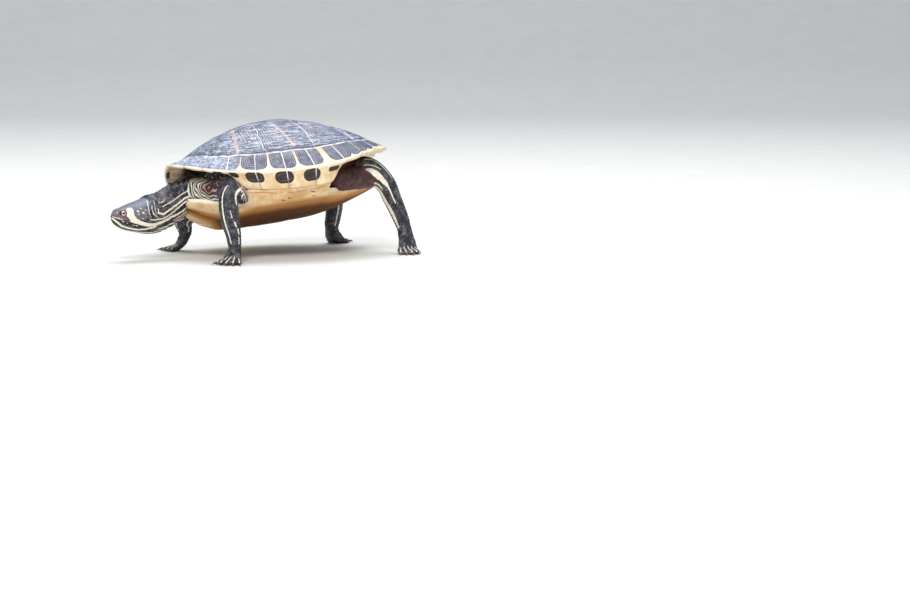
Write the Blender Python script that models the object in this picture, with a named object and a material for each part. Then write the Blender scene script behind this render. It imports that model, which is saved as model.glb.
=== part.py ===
"""A yellow-bellied slider turtle, life size, standing on its four feet with its neck stretched out.

Metres, +Z up, the floor at Z = 0. The head points to -X and the animal's left side to -Y.
The shell is laid out in a frame of its own, level and centred, and TILT sets it in the stance.
ORIGIN then moves the whole animal, so that the origin is under the middle of its outline.
"""

import math

import bmesh
import bpy
from mathutils import Matrix, Vector

# Stance: the shell leans onto its right side and its nose is down.
PITCH = math.radians(5.5)
ROLL = math.radians(17.0)
STANCE = (0.010, -0.0046, 0.0400)  # the shell frame's origin

ORIGIN = (0.02715, -0.00008, 0)

# The shell, in its own frame: Z = 0 is the underside of the plastron.
SHELL_LENGTH = 0.240
SHELL_WIDTH = 0.186
SHELL_TOP = 0.1010
PEAK = -0.05  # where along the half-length the dome is highest
RIM = (  # degrees round the rim from the nose: its height
    (0, 0.0705), (20, 0.0600), (40, 0.0468), (60, 0.0358), (80, 0.0305),
    (100, 0.0308), (120, 0.0385), (140, 0.0453), (160, 0.0500), (180, 0.0530),
)  # fmt: skip
SHELL_WALL = 0.006
RIM_LIP = 0.0030
END_DROP, BRIDGE_DROP = 0.000, 0.014  # how far the marginals' underside slopes down inwards
# Reaches from the middle of the shell, as a share of the way to its rim, of the rings that line it
LIP_REACH, LAND_REACH, WALL_REACH, VAULT_REACH, CROWN_REACH = 0.985, 0.895, 0.838, 0.77, 0.42
DOME_ROUNDNESS = 2.15  # across the shell: 2 is an ellipse's arch, more is squarer
GROOVE_DEPTH = 0.0009
GROOVE_WIDTH = 0.0016
MARGINAL_SEAMS = (4.5, 18, 31, 44, 59.5, 74.5, 89.5, 104.5, 119.5, 134.5, 149.5, 165, 180)
BORDER = (  # degrees round the rim from the nose: reach of the seam inside the marginals
    (0, 0.850), (32, 0.895), (56, 0.860), (76, 0.835), (104, 0.833), (136, 0.875), (180, 0.850),
)  # fmt: skip
BRIDGE_START, BRIDGE_END = 49.5, 101.0  # degrees round the rim from the nose
PLASTRON_WALL = 0.005
FRONT_CURL, REAR_CURL = 0.022, 0.014
KEEL_RISE = 0.0035  # of the plastron's underside at its keels
LOBE_RISE, HIND_LOBE_RISE = 0.003, 0.006  # of the lobes' edge over the keel, and more beside the hind legs
LOBE_LIP = 0.0025  # how far the lobes' edge stands out beyond the keels
CUT = 0.0004  # the gap between pieces that touch

EYE_RADIUS = 0.0046
SKIN_DARK = (0.045, 0.045, 0.05)
HORN_GREY = (0.19, 0.21, 0.25)
HORN_CREAM = (0.80, 0.62, 0.36)
CLAW_BROWN = (0.10, 0.08, 0.06)
EYE_YELLOW = (0.55, 0.48, 0.16)

TILT = (
    Matrix.Translation(STANCE)
    @ Matrix.Rotation(-PITCH, 4, "Y")
    @ Matrix.Rotation(-ROLL, 4, "X")
)


def smooth(value, low=0.0, high=1.0):
    """0 below low, 1 above high, and an S-curve between."""
    share = min(max((value - low) / (high - low), 0.0), 1.0)
    return share * share * (3 - 2 * share)


def through(points, at):
    """The smooth curve through (position, values...) points, read at a position."""
    count = len(points)
    at = min(max(at, points[0][0]), points[-1][0])
    index = next(i for i in range(count - 1) if at <= points[i + 1][0])
    low, high = points[index], points[index + 1]
    before = points[max(index - 1, 0)]
    after = points[min(index + 2, count - 1)]
    span = high[0] - low[0]
    share = (at - low[0]) / span
    found = []
    for value in range(1, len(low)):
        rise_low = (high[value] - before[value]) / (high[0] - before[0]) * span
        rise_high = (after[value] - low[value]) / (after[0] - low[0]) * span
        square, cube = share**2, share**3
        found.append(
            low[value] * (2 * cube - 3 * square + 1)
            + high[value] * (3 * square - 2 * cube)
            + rise_low * (cube - 2 * square + share)
            + rise_high * (cube - square)
        )
    return found[0] if len(found) == 1 else found


# --- making objects -----------------------------------------------------------------


def material(name, colour, roughness):
    made = bpy.data.materials.new(name)
    made.use_nodes = True
    shader = made.node_tree.nodes["Principled BSDF"]
    shader.inputs["Base Color"].default_value = (*colour, 1)
    shader.inputs["Roughness"].default_value = roughness
    return made


def add(name, mesh, finish):
    made = bpy.data.objects.new(name, mesh)
    made.data.materials.append(finish)
    bpy.context.scene.collection.objects.link(made)
    return made


def mesh_of(name, points, faces):
    """A closed mesh with its faces pointing out."""
    mesh = bpy.data.meshes.new(name)
    mesh.from_pydata([tuple(p) for p in points], [], faces)
    form = bmesh.new()
    form.from_mesh(mesh)
    bmesh.ops.remove_doubles(form, verts=form.verts, dist=1e-6)
    bmesh.ops.recalc_face_normals(form, faces=form.faces)
    bmesh.ops.triangulate(form, faces=form.faces)
    form.to_mesh(mesh)
    form.free()
    mesh.shade_smooth()
    mesh.set_sharp_from_angle(angle=math.radians(50))
    return mesh


def band(low, high):
    """Faces between two closed rings, each given by its points' numbers."""
    after_low, after_high = low[1:] + low[:1], high[1:] + high[:1]
    return list(zip(low, after_low, after_high, high))


def bands(rows, sides):
    """Faces between rings of as many points each, numbered one ring after another."""
    rings = [list(range(row * sides, (row + 1) * sides)) for row in range(rows)]
    return [face for low, high in zip(rings, rings[1:]) for face in band(low, high)]


def skinned(name, rings):
    """A closed mesh skinned over rings of as many points each."""
    sides = len(rings[0])
    points = [p for ring in rings for p in ring]
    ends = [tuple(reversed(range(sides))), tuple(range(len(points) - sides, len(points)))]
    return mesh_of(name, points, bands(len(rings), sides) + ends)


def combine(target, operation, pieces):
    """Joins the pieces' shapes to the target or takes them out of it."""
    for piece in pieces:
        step = target.modifiers.new(piece.name, "BOOLEAN")
        step.operation = operation
        step.solver = "EXACT"
        step.object = piece
        piece.hide_render = True
        piece.display_type = "WIRE"


def cut_away(target, *cutters):
    combine(target, "DIFFERENCE", cutters)


def join(target, *pieces):
    combine(target, "UNION", pieces)


def grown(source, name, margin):
    """A copy of an object's mesh, larger all round by the margin."""
    made = add(name, source.data.copy(), source.data.materials[0])
    for vertex, normal in zip(made.data.vertices, [n.vector.copy() for n in source.data.vertex_normals]):
        vertex.co += normal * margin
    return made


# --- the shell ----------------------------------------------------------------------


def fall(x):
    """How far the ridge has come down from its top, as a share, on the way to the nose or the tail."""
    reach = min(abs(x - PEAK) / (1 + PEAK if x < PEAK else 1 - PEAK), 1)
    if x < PEAK:
        return reach**1.75 + 2.6 * reach**6 * (1 - reach)
    return reach**1.6 + 3.0 * reach**9 * (1 - reach)


def dome_height(x, y):
    """Height of the dome over a point in the unit circle that stands for the shell's plan."""
    end_rim = RIM[0][1] if x < PEAK else RIM[-1][1]
    ridge = SHELL_TOP - (SHELL_TOP - end_rim) * fall(x)
    half = math.sqrt(max(1 - x * x, 1e-9))
    across = min(abs(y) / half, 1) ** DOME_ROUNDNESS
    side_rim = through(RIM, math.degrees(math.atan2(abs(y), -x)))
    return ridge * (1 - across) + side_rim * across


def on_plan(x, y, height):
    """A point of the shell frame from unit-circle coordinates. The shell is widest behind its middle."""
    return Vector((x * SHELL_LENGTH / 2, y * SHELL_WIDTH / 2 * (1 + 0.04 * x), height))


def polar(angle_degrees, reach):
    angle = math.radians(angle_degrees)
    return -reach * math.cos(angle), reach * math.sin(angle)


def notch(angle_degrees):
    """The rim draws in a little at the seams of the hind marginals."""
    return 1 - 0.026 * smooth(angle_degrees, 100, 135)


def scute_corners():
    """Named corner points of the scutes of the left half, in unit-circle coordinates."""
    corners = {}
    for index, angle in enumerate(MARGINAL_SEAMS):
        corners[f"rim{index}"] = polar(angle, notch(angle))
        corners[f"seam{index}"] = polar(angle, through(BORDER, angle))
    for name, angle in (("first", 13), ("c12", 67), ("c23", 97), ("c34", 127), ("last", 155)):
        corners[name] = polar(angle, through(BORDER, angle))
    corners.update(
        v12=(-0.47, 0.17), v2=(-0.26, 0.31), v23=(-0.10, 0.19), v3=(0.10, 0.32),
        v34=(0.28, 0.19), v4=(0.46, 0.29), v45=(0.62, 0.13), v1=(-0.62, 0.23),
    )  # fmt: skip
    return corners


VERTEBRALS = (
    ("seam0", "first", "v1", "v12"),
    ("v12", "v2", "v23"),
    ("v23", "v3", "v34"),
    ("v34", "v4", "v45"),
    ("v45", "last", "seam11", "seam12"),
)
COSTALS = (
    ("first", "seam1", "seam2", "seam3", "seam4", "c12", "v2", "v12", "v1"),
    ("c12", "seam5", "seam6", "c23", "v3", "v23", "v2"),
    ("c23", "seam7", "seam8", "c34", "v4", "v34", "v3"),
    ("c34", "seam9", "seam10", "last", "v45", "v4"),
)
BETWEEN_SEAMS = {0: "first", 4: "c12", 6: "c23", 8: "c34", 10: "last"}


def scutes():
    """Every scute of the carapace as a loop of corner points."""
    corners = scute_corners()
    loops = []
    for names in VERTEBRALS:
        side = [corners[n] for n in names]
        loops.append(side + [(x, -y) for x, y in reversed(side) if abs(y) > 1e-6])
    sides = [[corners[n] for n in names] for names in COSTALS]
    for index in range(len(MARGINAL_SEAMS) - 1):
        extra = BETWEEN_SEAMS.get(index)
        inner = [corners[f"seam{index + 1}"], *([corners[extra]] if extra else []), corners[f"seam{index}"]]
        middle = (MARGINAL_SEAMS[index] + MARGINAL_SEAMS[index + 1]) / 2
        sides.append([corners[f"rim{index}"], polar(middle, 1.0), corners[f"rim{index + 1}"], *inner])
    loops += sides + [[(x, -y) for x, y in reversed(side)] for side in sides]
    nuchal = [corners["rim0"], corners["seam0"]]
    loops.append([(x, -y) for x, y in reversed(nuchal)] + nuchal)
    return loops


def split_loop(loop, longest=0.14):
    """The loop with its long sides halved, except along the rim, where corners are close already."""
    made = []
    for index, (x, y) in enumerate(loop):
        made.append((x, y))
        after_x, after_y = loop[(index + 1) % len(loop)]
        if math.hypot(after_x - x, after_y - y) > longest:
            made.append(((x + after_x) / 2, (y + after_y) / 2))
    return made


def drawn_in(loop, distance):
    """The loop drawn in by a distance, in metres on the plan, towards its middle."""
    middle_x = sum(x for x, _ in loop) / len(loop)
    middle_y = sum(y for _, y in loop) / len(loop)
    made = []
    for x, y in loop:
        across = math.hypot((x - middle_x) * SHELL_LENGTH / 2, (y - middle_y) * SHELL_WIDTH / 2)
        keep = max(1 - distance / across, 0.2)
        made.append((middle_x + (x - middle_x) * keep, middle_y + (y - middle_y) * keep))
    return made, (middle_x, middle_y)


def carapace_mesh():
    """The domed upper shell: grooved scutes above, a lip at the rim, and the hollow inside."""
    points, faces, known = [], [], {}

    def point(x, y, offset):
        key = (round(x, 5), round(y, 5), round(offset, 6))
        if key not in known:
            known[key] = len(points)
            points.append(on_plan(x, y, dome_height(x, y) + offset))
        return known[key]

    for loop in scutes():
        outer = split_loop(loop)
        groove, _ = drawn_in(outer, GROOVE_WIDTH)
        inner, middle = drawn_in(outer, 0.010)
        rows = [
            [point(x, y, -GROOVE_DEPTH if math.hypot(x, y) < 0.97 else 0) for x, y in outer],
            [point(x, y, 0) for x, y in groove],
        ]
        if max(math.hypot(x, y) for x, y in loop) < 0.97:
            rows.append([point(x, y, 0.0004) for x, y in inner])
        for low, high in zip(rows, rows[1:]):
            faces += band(low, high)
        top = point(*middle, 0.0006)
        faces += [(a, b, top) for a, b in zip(rows[-1], rows[-1][1:] + rows[-1][:1])]
    angles = rim_angles()
    rings = [[known[(round(x, 5), round(y, 5), 0)] for x, y in rim_points()]]
    for shape in (lip_ring, land_ring, wall_ring, vault_ring, crown_ring):
        rings.append([])
        for angle in angles:
            rings[-1].append(len(points))
            points.append(shape(angle))
    for low, high in zip(rings, rings[1:]):
        faces += band(low, high)
    points.append(on_plan(0, 0, SHELL_TOP - SHELL_WALL))
    faces += [(a, b, len(points) - 1) for a, b in zip(rings[-1], rings[-1][1:] + rings[-1][:1])]
    return mesh_of("carapace", points, faces)


def rim_points():
    """The rim's corner points once round, from the nose by the animal's right side."""
    half = [(polar(MARGINAL_SEAMS[0], 1)[0], 0.0)]
    for index, angle in enumerate(MARGINAL_SEAMS):
        half.append(polar(angle, notch(angle)))
        if index + 1 < len(MARGINAL_SEAMS):
            half.append(polar((angle + MARGINAL_SEAMS[index + 1]) / 2, 1.0))
    return half + [(x, -y) for x, y in reversed(half[1:-1])]


def rim_angles():
    return [math.degrees(math.atan2(y, -x)) for x, y in rim_points()]


def bridged(angle_degrees):
    """1 where the shell is closed by the bridge, and 0 at its front and rear openings."""
    angle = abs(angle_degrees)
    begun = smooth(angle, BRIDGE_START - 8, BRIDGE_START + 2)
    return begun * (1 - smooth(angle, BRIDGE_END - 2, BRIDGE_END + 8))


def under_height(angle_degrees, reach):
    """Height of the marginals' underside: it turns down steeply over the bridge."""
    drop = END_DROP + (BRIDGE_DROP - END_DROP) * bridged(angle_degrees)
    return through(RIM, abs(angle_degrees)) - RIM_LIP - drop * smooth(1 - reach, 0.0, 1 - LAND_REACH)


def lip_ring(angle):
    return on_plan(*polar(angle, LIP_REACH), under_height(angle, 1))


def land_ring(angle):
    return on_plan(*polar(angle, LAND_REACH), under_height(angle, LAND_REACH))


def wall_ring(angle):
    return on_plan(*polar(angle, WALL_REACH), under_height(angle, LAND_REACH))


def vault_ring(angle):
    x, y = polar(angle, VAULT_REACH)
    return on_plan(x, y, dome_height(x, y) - SHELL_WALL)


def crown_ring(angle):
    x, y = polar(angle, CROWN_REACH)
    return on_plan(x, y, dome_height(x, y) - SHELL_WALL)


KEEL = (  # along the shell: half-width of the plastron's flat underside
    (-0.110, 0.015), (-0.103, 0.027), (-0.088, 0.040), (-0.066, 0.049), (-0.040, 0.057), (-0.010, 0.060),
    (0.018, 0.057), (0.040, 0.049), (0.065, 0.046), (0.085, 0.039), (0.096, 0.028), (0.100, 0.020),
)  # fmt: skip
PLASTRON_STATIONS = (
    -0.110, -0.107, -0.100, -0.092, -0.083, -0.077, -0.073, -0.069, -0.065, -0.055, -0.036, -0.012,
    0.008, 0.015, 0.019, 0.023, 0.028, 0.040, 0.055, 0.070, 0.082, 0.091, 0.097, 0.100,
)  # fmt: skip
ACROSS = (0.0, 0.22, 0.44, 0.62, 0.71, 0.81, 0.91, 1.0)
KEEL_SHARE = 0.62


def belly_height(x):
    """Height of the plastron's underside on the midline: its two ends curl up."""
    front = smooth(-x, 0.050, 0.170) * 2
    rear = smooth(x, 0.035, 0.165) * 2
    return FRONT_CURL * front + REAR_CURL * rear


def bridge_share(x):
    """1 along the bridge and 0 along the two lobes."""
    start, end = (
        -LAND_REACH * SHELL_LENGTH / 2 * math.cos(math.radians(angle)) for angle in (BRIDGE_START, BRIDGE_END)
    )
    return smooth(x, start - 0.006, start + 0.004) * (1 - smooth(x, end - 0.004, end + 0.006))


def lobe_rise(x):
    """How far the edge of a lobe stands over the keel: the hind lobe's is tallest at the bridge."""
    return LOBE_RISE + HIND_LOBE_RISE * smooth(x, 0.0, 0.01) * (1 - smooth(x, 0.035, 0.092))


def bridge_top(x):
    """(half-width, height) where the bridge meets the underside of the marginals."""
    along = min(max(x / (LAND_REACH * SHELL_LENGTH / 2), -0.99), 0.99)
    top = land_ring(math.degrees(math.acos(-along)))
    return top.y, top.z - CUT


def plastron_section(x, inner):
    """Points across the plastron at one station, from the left edge to the right one."""
    keel = through(KEEL, x)
    bridge = bridge_share(x)
    edge_y, edge_z = bridge_top(x)
    base = belly_height(x)
    side = []
    for share in ACROSS:
        if share <= KEEL_SHARE:
            y = keel * share / KEEL_SHARE
            z = base + KEEL_RISE * (share / KEEL_SHARE) ** 4
        else:
            out = (share - KEEL_SHARE) / (1 - KEEL_SHARE)
            lobe_y = keel + LOBE_LIP
            y = keel + out * (lobe_y + (edge_y - lobe_y) * bridge - keel)
            keel_z = base + KEEL_RISE
            z = keel_z + lobe_rise(x) * out * (1 - bridge) + (edge_z - keel_z) * out**1.25 * bridge
        if inner:
            out = max(share - KEEL_SHARE, 0) / (1 - KEEL_SHARE)
            in_from_edge = PLASTRON_WALL * smooth(share, 0.3, 0.8)
            over_lobe = share / KEEL_SHARE if share < KEEL_SHARE else 1
            lobe_in = (keel - 0.004) * over_lobe + LOBE_LIP * out
            y = lobe_in + (y - in_from_edge - lobe_in) * bridge
            z += PLASTRON_WALL * (1 - bridge * out) - 0.004 * (1 - bridge) * out
        side.append((y, z))
    return [Vector((x, -y, z)) for y, z in reversed(side[1:])] + [Vector((x, y, z)) for y, z in side]


def plastron_mesh():
    """The lower shell with its two bridges: a thin boat, closed all round its edge."""
    rings = []
    for x in PLASTRON_STATIONS:
        rings.append(plastron_section(x, False) + list(reversed(plastron_section(x, True))))
    width = 2 * len(ACROSS) - 1
    points = [p for ring in rings for p in ring]
    sides = 2 * width
    faces = bands(len(rings), sides)
    for row in (0, len(rings) - 1):
        for side in range(width - 1):
            low, high = row * sides + side, row * sides + sides - 1 - side
            faces.append((low, low + 1, high - 1, high))
    return mesh_of("plastron", points, faces)


# --- the flesh ----------------------------------------------------------------------


TRUNK_GAP = 0.0012  # between the trunk and the vault of the shell
TRUNK_REACH, TRUNK_BRIDGE_REACH, TRUNK_TAPER = 0.715, 0.045, 0.02
TRUNK_SHOULDER_DROP = 0.0035
TRUNK_WAIST = 0.018  # height of its widest ring over the plastron
TRUNK_TUCK, TRUNK_LEAST_HALF = 0.008, 0.010  # how narrow its underside is beside the keels


def trunk_mesh():
    """The body inside the shell, seen at the openings: from the vault down to the plastron."""
    angles = rim_angles()
    crown, shoulder, waist, foot = [], [], [], []
    gap = SHELL_WALL + TRUNK_GAP
    bed = PLASTRON_WALL + KEEL_RISE + CUT  # height over the plastron's underside on which the trunk lies
    for angle in angles:
        x, y = polar(angle, CROWN_REACH)
        crown.append(on_plan(x, y, dome_height(x, y) - gap))
        reach = TRUNK_REACH + TRUNK_BRIDGE_REACH * bridged(angle)
        x, y = polar(angle, reach)
        shoulder.append(on_plan(x, y, dome_height(x, y) - gap - TRUNK_SHOULDER_DROP))
        x, y = polar(angle, reach - TRUNK_TAPER)
        place = on_plan(x, y, 0)
        floor = belly_height(place.x) + bed
        waist.append(Vector((place.x, place.y, floor + TRUNK_WAIST)))
        half = max(through(KEEL, place.x) - TRUNK_TUCK, TRUNK_LEAST_HALF)
        foot.append(Vector((place.x, math.copysign(min(abs(place.y), half), place.y), floor + TRUNK_GAP / 2)))
    count = len(angles)
    rows = (crown, shoulder, waist, foot)
    points = [p for row in rows for p in row]
    faces = bands(len(rows), count)
    points.append(on_plan(0, 0, SHELL_TOP - gap))
    faces += [(a, (a + 1) % count, len(points) - 1) for a in range(count)]
    points.append(Vector((0, 0, bed)))
    last = (len(rows) - 1) * count
    faces += [(last + a, last + (a + 1) % count, len(points) - 1) for a in range(count)]
    return mesh_of("trunk", points, faces)


def ellipse_ring(centre, along, side_hint, half, up, down, sides):
    """A closed ring of points across a direction, taller or flatter above and below its centre."""
    along = along.normalized()
    side = (side_hint - along * side_hint.dot(along)).normalized()
    top = along.cross(side)
    ring = []
    for index in range(sides):
        turn = 2 * math.pi * index / sides
        rise = math.sin(turn)
        ring.append(centre + side * half * math.cos(turn) + top * (up if rise > 0 else down) * rise)
    return ring


def tube(name, stations, sides, rings):
    """A limb skinned along a smooth path.

    Each station is (share of the way, x, y, z, half-width, reach up, reach down).
    """
    loops = []
    for ring in range(rings):
        share = ring / (rings - 1)
        place, size = Vector(through(stations, share)[:3]), through(stations, share)[3:]
        step = 1e-3
        ahead = Vector(through(stations, min(share + step, 1))[:3])
        behind = Vector(through(stations, max(share - step, 0))[:3])
        loops.append(ellipse_ring(place, ahead - behind, Vector((0, 1, 0)), *size, sides))
    return skinned(name, loops)


NECK = (  # share of the way from the head back into the body: centre, half-width, reach up and down
    (0.00, -0.1443, 0.0056, 0.0449, 0.0172, 0.0205, 0.0195),
    (0.20, -0.1300, 0.0085, 0.0478, 0.0170, 0.0202, 0.0198),
    (0.40, -0.1170, 0.0120, 0.0522, 0.0168, 0.0198, 0.0192),
    (0.60, -0.1030, 0.0150, 0.0600, 0.0165, 0.0185, 0.0185),
    (0.80, -0.0860, 0.0160, 0.0670, 0.0180, 0.0180, 0.0185),
    (1.00, -0.0640, 0.0120, 0.0700, 0.0190, 0.0180, 0.0185),
)
NECK_SIDES, NECK_RINGS = 14, 9
SNOUT = Vector((-0.1838, 0.0, 0.0470))
HEAD_AXIS = Vector((0.99, 0.139, -0.052)).normalized()  # from the snout backwards
HEAD_SIDES = 18
HEAD = (  # distance from the snout: half-width, top above the axis, bottom below it
    (0.0000, 0.0016, 0.0012, 0.0030),
    (0.0012, 0.0036, 0.0026, 0.0054),
    (0.0040, 0.0062, 0.0044, 0.0084),
    (0.0088, 0.0092, 0.0076, 0.0112),
    (0.0135, 0.0116, 0.0098, 0.0134),
    (0.0182, 0.0137, 0.0116, 0.0147),
    (0.0230, 0.0153, 0.0133, 0.0156),
    (0.0280, 0.0163, 0.0150, 0.0164),
    (0.0330, 0.0169, 0.0168, 0.0172),
    (0.0370, 0.0170, 0.0183, 0.0180),
    (0.0400, 0.0166, 0.0192, 0.0184),
)
EYE_BACK, EYE_OUT, EYE_UP = 0.0098, 0.0058, 0.0024

LEGS = {  # share of the way out of the body: centre, half-width, reach up and down
    "foreleg_left": (
        (0.00, -0.0400, -0.0260, 0.0760, 0.0120, 0.0110, 0.0110),
        (0.22, -0.0680, -0.0460, 0.0800, 0.0115, 0.0110, 0.0110),
        (0.42, -0.0820, -0.0600, 0.0680, 0.0105, 0.0110, 0.0110),
        (0.62, -0.0832, -0.0655, 0.0470, 0.0092, 0.0105, 0.0100),
        (0.82, -0.0795, -0.0665, 0.0290, 0.0074, 0.0083, 0.0078),
        (1.00, -0.0780, -0.0670, 0.0170, 0.0068, 0.0064, 0.0064),
    ),
    "foreleg_right": (
        (0.00, -0.0400, 0.0340, 0.0560, 0.0120, 0.0110, 0.0110),
        (0.22, -0.0610, 0.0490, 0.0490, 0.0115, 0.0110, 0.0110),
        (0.42, -0.0740, 0.0610, 0.0390, 0.0105, 0.0105, 0.0105),
        (0.62, -0.0755, 0.0700, 0.0315, 0.0092, 0.0095, 0.0095),
        (0.82, -0.0725, 0.0730, 0.0245, 0.0078, 0.0082, 0.0082),
        (1.00, -0.0715, 0.0735, 0.0170, 0.0070, 0.0066, 0.0066),
    ),
    "hind_leg_left": (
        (0.00, 0.0550, -0.0250, 0.0830, 0.0120, 0.0130, 0.0130),
        (0.22, 0.0840, -0.0380, 0.0880, 0.0110, 0.0125, 0.0125),
        (0.42, 0.1010, -0.0460, 0.0740, 0.0095, 0.0110, 0.0110),
        (0.62, 0.1085, -0.0510, 0.0560, 0.0084, 0.0098, 0.0098),
        (0.82, 0.1150, -0.0535, 0.0400, 0.0076, 0.0088, 0.0088),
        (1.00, 0.1190, -0.0550, 0.0290, 0.0074, 0.0080, 0.0080),
    ),
    "hind_leg_right": (
        (0.00, 0.0480, 0.0240, 0.0640, 0.0120, 0.0130, 0.0130),
        (0.22, 0.0720, 0.0420, 0.0650, 0.0110, 0.0125, 0.0125),
        (0.42, 0.0890, 0.0560, 0.0570, 0.0095, 0.0110, 0.0110),
        (0.62, 0.0960, 0.0610, 0.0430, 0.0084, 0.0098, 0.0098),
        (0.82, 0.0945, 0.0605, 0.0300, 0.0076, 0.0088, 0.0088),
        (1.00, 0.0915, 0.0590, 0.0200, 0.0074, 0.0080, 0.0080),
    ),
}
LEG_SIDES, LEG_RINGS = 12, 9
# Feet: leg, heading of the middle toe in degrees from -X towards -Y, fan of the toes, reach of the toes,
# clawed toes, half-width at the knuckles, how far out the knuckles are
FEET = {
    "forefoot_left": ("foreleg_left", 43, 66, 0.0235, 5, 0.0100, 0.50),
    "forefoot_right": ("foreleg_right", -14, 66, 0.0235, 5, 0.0100, 0.50),
    "hind_foot_left": ("hind_leg_left", 84, 52, 0.0260, 4, 0.0108, 0.50),
    "hind_foot_right": ("hind_leg_right", -142, 52, 0.0260, 4, 0.0108, 0.50),
}
KNUCKLE_HEIGHT = 0.0046
TOE_RADIUS = 0.0029
TOE_TIP_RADIUS = 0.0021
TOE_TIP_HEIGHT = 0.0018
TOES, TOE_SIDES = 5, 7
CLAW_LENGTH = 0.0068
CLAW_RADIUS = 0.0014
CLAW_SIDES = 5
TAIL_SIDES, TAIL_RINGS = 8, 6
TAIL = (  # as a leg's stations
    (0.00, 0.0700, 0.0140, 0.0820, 0.0100, 0.0090, 0.0090),
    (0.40, 0.1040, 0.0180, 0.0810, 0.0080, 0.0075, 0.0075),
    (0.70, 0.1150, 0.0310, 0.0720, 0.0052, 0.0052, 0.0052),
    (1.00, 0.1130, 0.0460, 0.0620, 0.0016, 0.0016, 0.0016),
)


def head_frame(back, out=0.0, up=0.0):
    """A point of the head from its distance behind the snout, to the left and up."""
    left = HEAD_AXIS.cross(Vector((0, 0, 1))).normalized()
    top = left.cross(HEAD_AXIS)
    return SNOUT + HEAD_AXIS * back + left * out + top * up


def head_ring(back, sides, fold=0.0):
    """The head's outline across its axis: flat cheeks, a round crown and a narrower jaw."""
    half, up, down = [size + fold for size in through(HEAD, back)]
    ring = []
    for index in range(sides):
        turn = 2 * math.pi * (index + 0.5) / sides
        across, rise = math.cos(turn), math.sin(turn)
        if rise > 0:
            out = math.copysign(abs(across) ** 0.8, across)
            lift = up * rise
        else:
            out = math.copysign(abs(across) ** 0.7, across) * (1 - 0.25 * rise**2)
            lift = down * rise
        ring.append(head_frame(back, out * half, lift))
    return ring


def head_mesh():
    distances = (0.0, 0.0012, 0.004, 0.0065, 0.009, 0.0115, 0.014, 0.018, 0.022, 0.026, 0.031, 0.036, 0.040)
    return skinned("head", [head_ring(back, HEAD_SIDES) for back in distances])


def neck_mesh():
    """The neck, from a flat end that faces the head's back into the body."""
    end = HEAD[-1][0]
    rings = [head_ring(end + CUT, NECK_SIDES, 0.0004), head_ring(end + 0.003, NECK_SIDES, 0.0018)]
    for ring in range(1, NECK_RINGS):
        share = ring / (NECK_RINGS - 1)
        place, size = Vector(through(NECK, share)[:3]), through(NECK, share)[3:]
        ahead = Vector(through(NECK, min(share + 0.01, 1))[:3])
        behind = Vector(through(NECK, share - 0.01)[:3])
        rings.append(rounded_ring(place, (ahead - behind).normalized(), *size, NECK_SIDES))
    return skinned("neck", rings)


def rounded_ring(centre, along, half, up, down, sides):
    """A ring across the neck whose flat side is on top, as the head's is."""
    left = along.cross(Vector((0, 0, 1))).normalized()
    top = left.cross(along)
    ring = []
    for index in range(sides):
        turn = 2 * math.pi * (index + 0.5) / sides
        rise = math.sin(turn)
        ring.append(centre + left * half * math.cos(turn) + top * (up if rise > 0 else down) * rise)
    return ring


def ball_mesh(name, centre, radius):
    form = bmesh.new()
    bmesh.ops.create_uvsphere(form, u_segments=12, v_segments=8, radius=radius)
    mesh = bpy.data.meshes.new(name)
    form.to_mesh(mesh)
    form.free()
    mesh.transform(Matrix.Translation(centre))
    mesh.shade_smooth()
    return mesh


def claw_mesh(base, along, side):
    """A curved, pointed claw that turns down towards its tip."""
    rings = []
    for share, size in ((0.0, 1.0), (0.5, 0.75), (1.0, 0.14)):
        centre = base + along * CLAW_LENGTH * share + Vector((0, 0, 0.0009 * math.sin(math.pi * share)))
        centre.z = max(centre.z, CLAW_RADIUS * size + 0.0002)
        radius = CLAW_RADIUS * size
        rings.append(ellipse_ring(centre, along, side, radius, radius, radius, CLAW_SIDES))
    return skinned("claw", rings)


def palm_mesh(name, ankle, step, ahead, side, knuckle, wrist, half):
    """The foot from its wrist or heel to the knuckles, ever wider and flatter."""
    rings = []
    for share in (0.0, 0.3, 0.6, 0.85, 1.0):
        bend = step.lerp(ahead, smooth(share, 0, 0.9)).normalized()
        centre = ankle.lerp(knuckle, share) + step * 0.0025 * math.sin(math.pi * share)
        wide = wrist[0] + (half - wrist[0]) * smooth(share, 0, 0.8)
        thick = wrist[1] + (KNUCKLE_HEIGHT - wrist[1]) * smooth(share, 0, 0.8)
        if share == 1.0:
            wide, thick = wide * 0.93, thick * 0.72
        rings.append(ellipse_ring(centre, bend, side, wide, thick, thick, LEG_SIDES))
    return skinned(name, rings)


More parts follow.
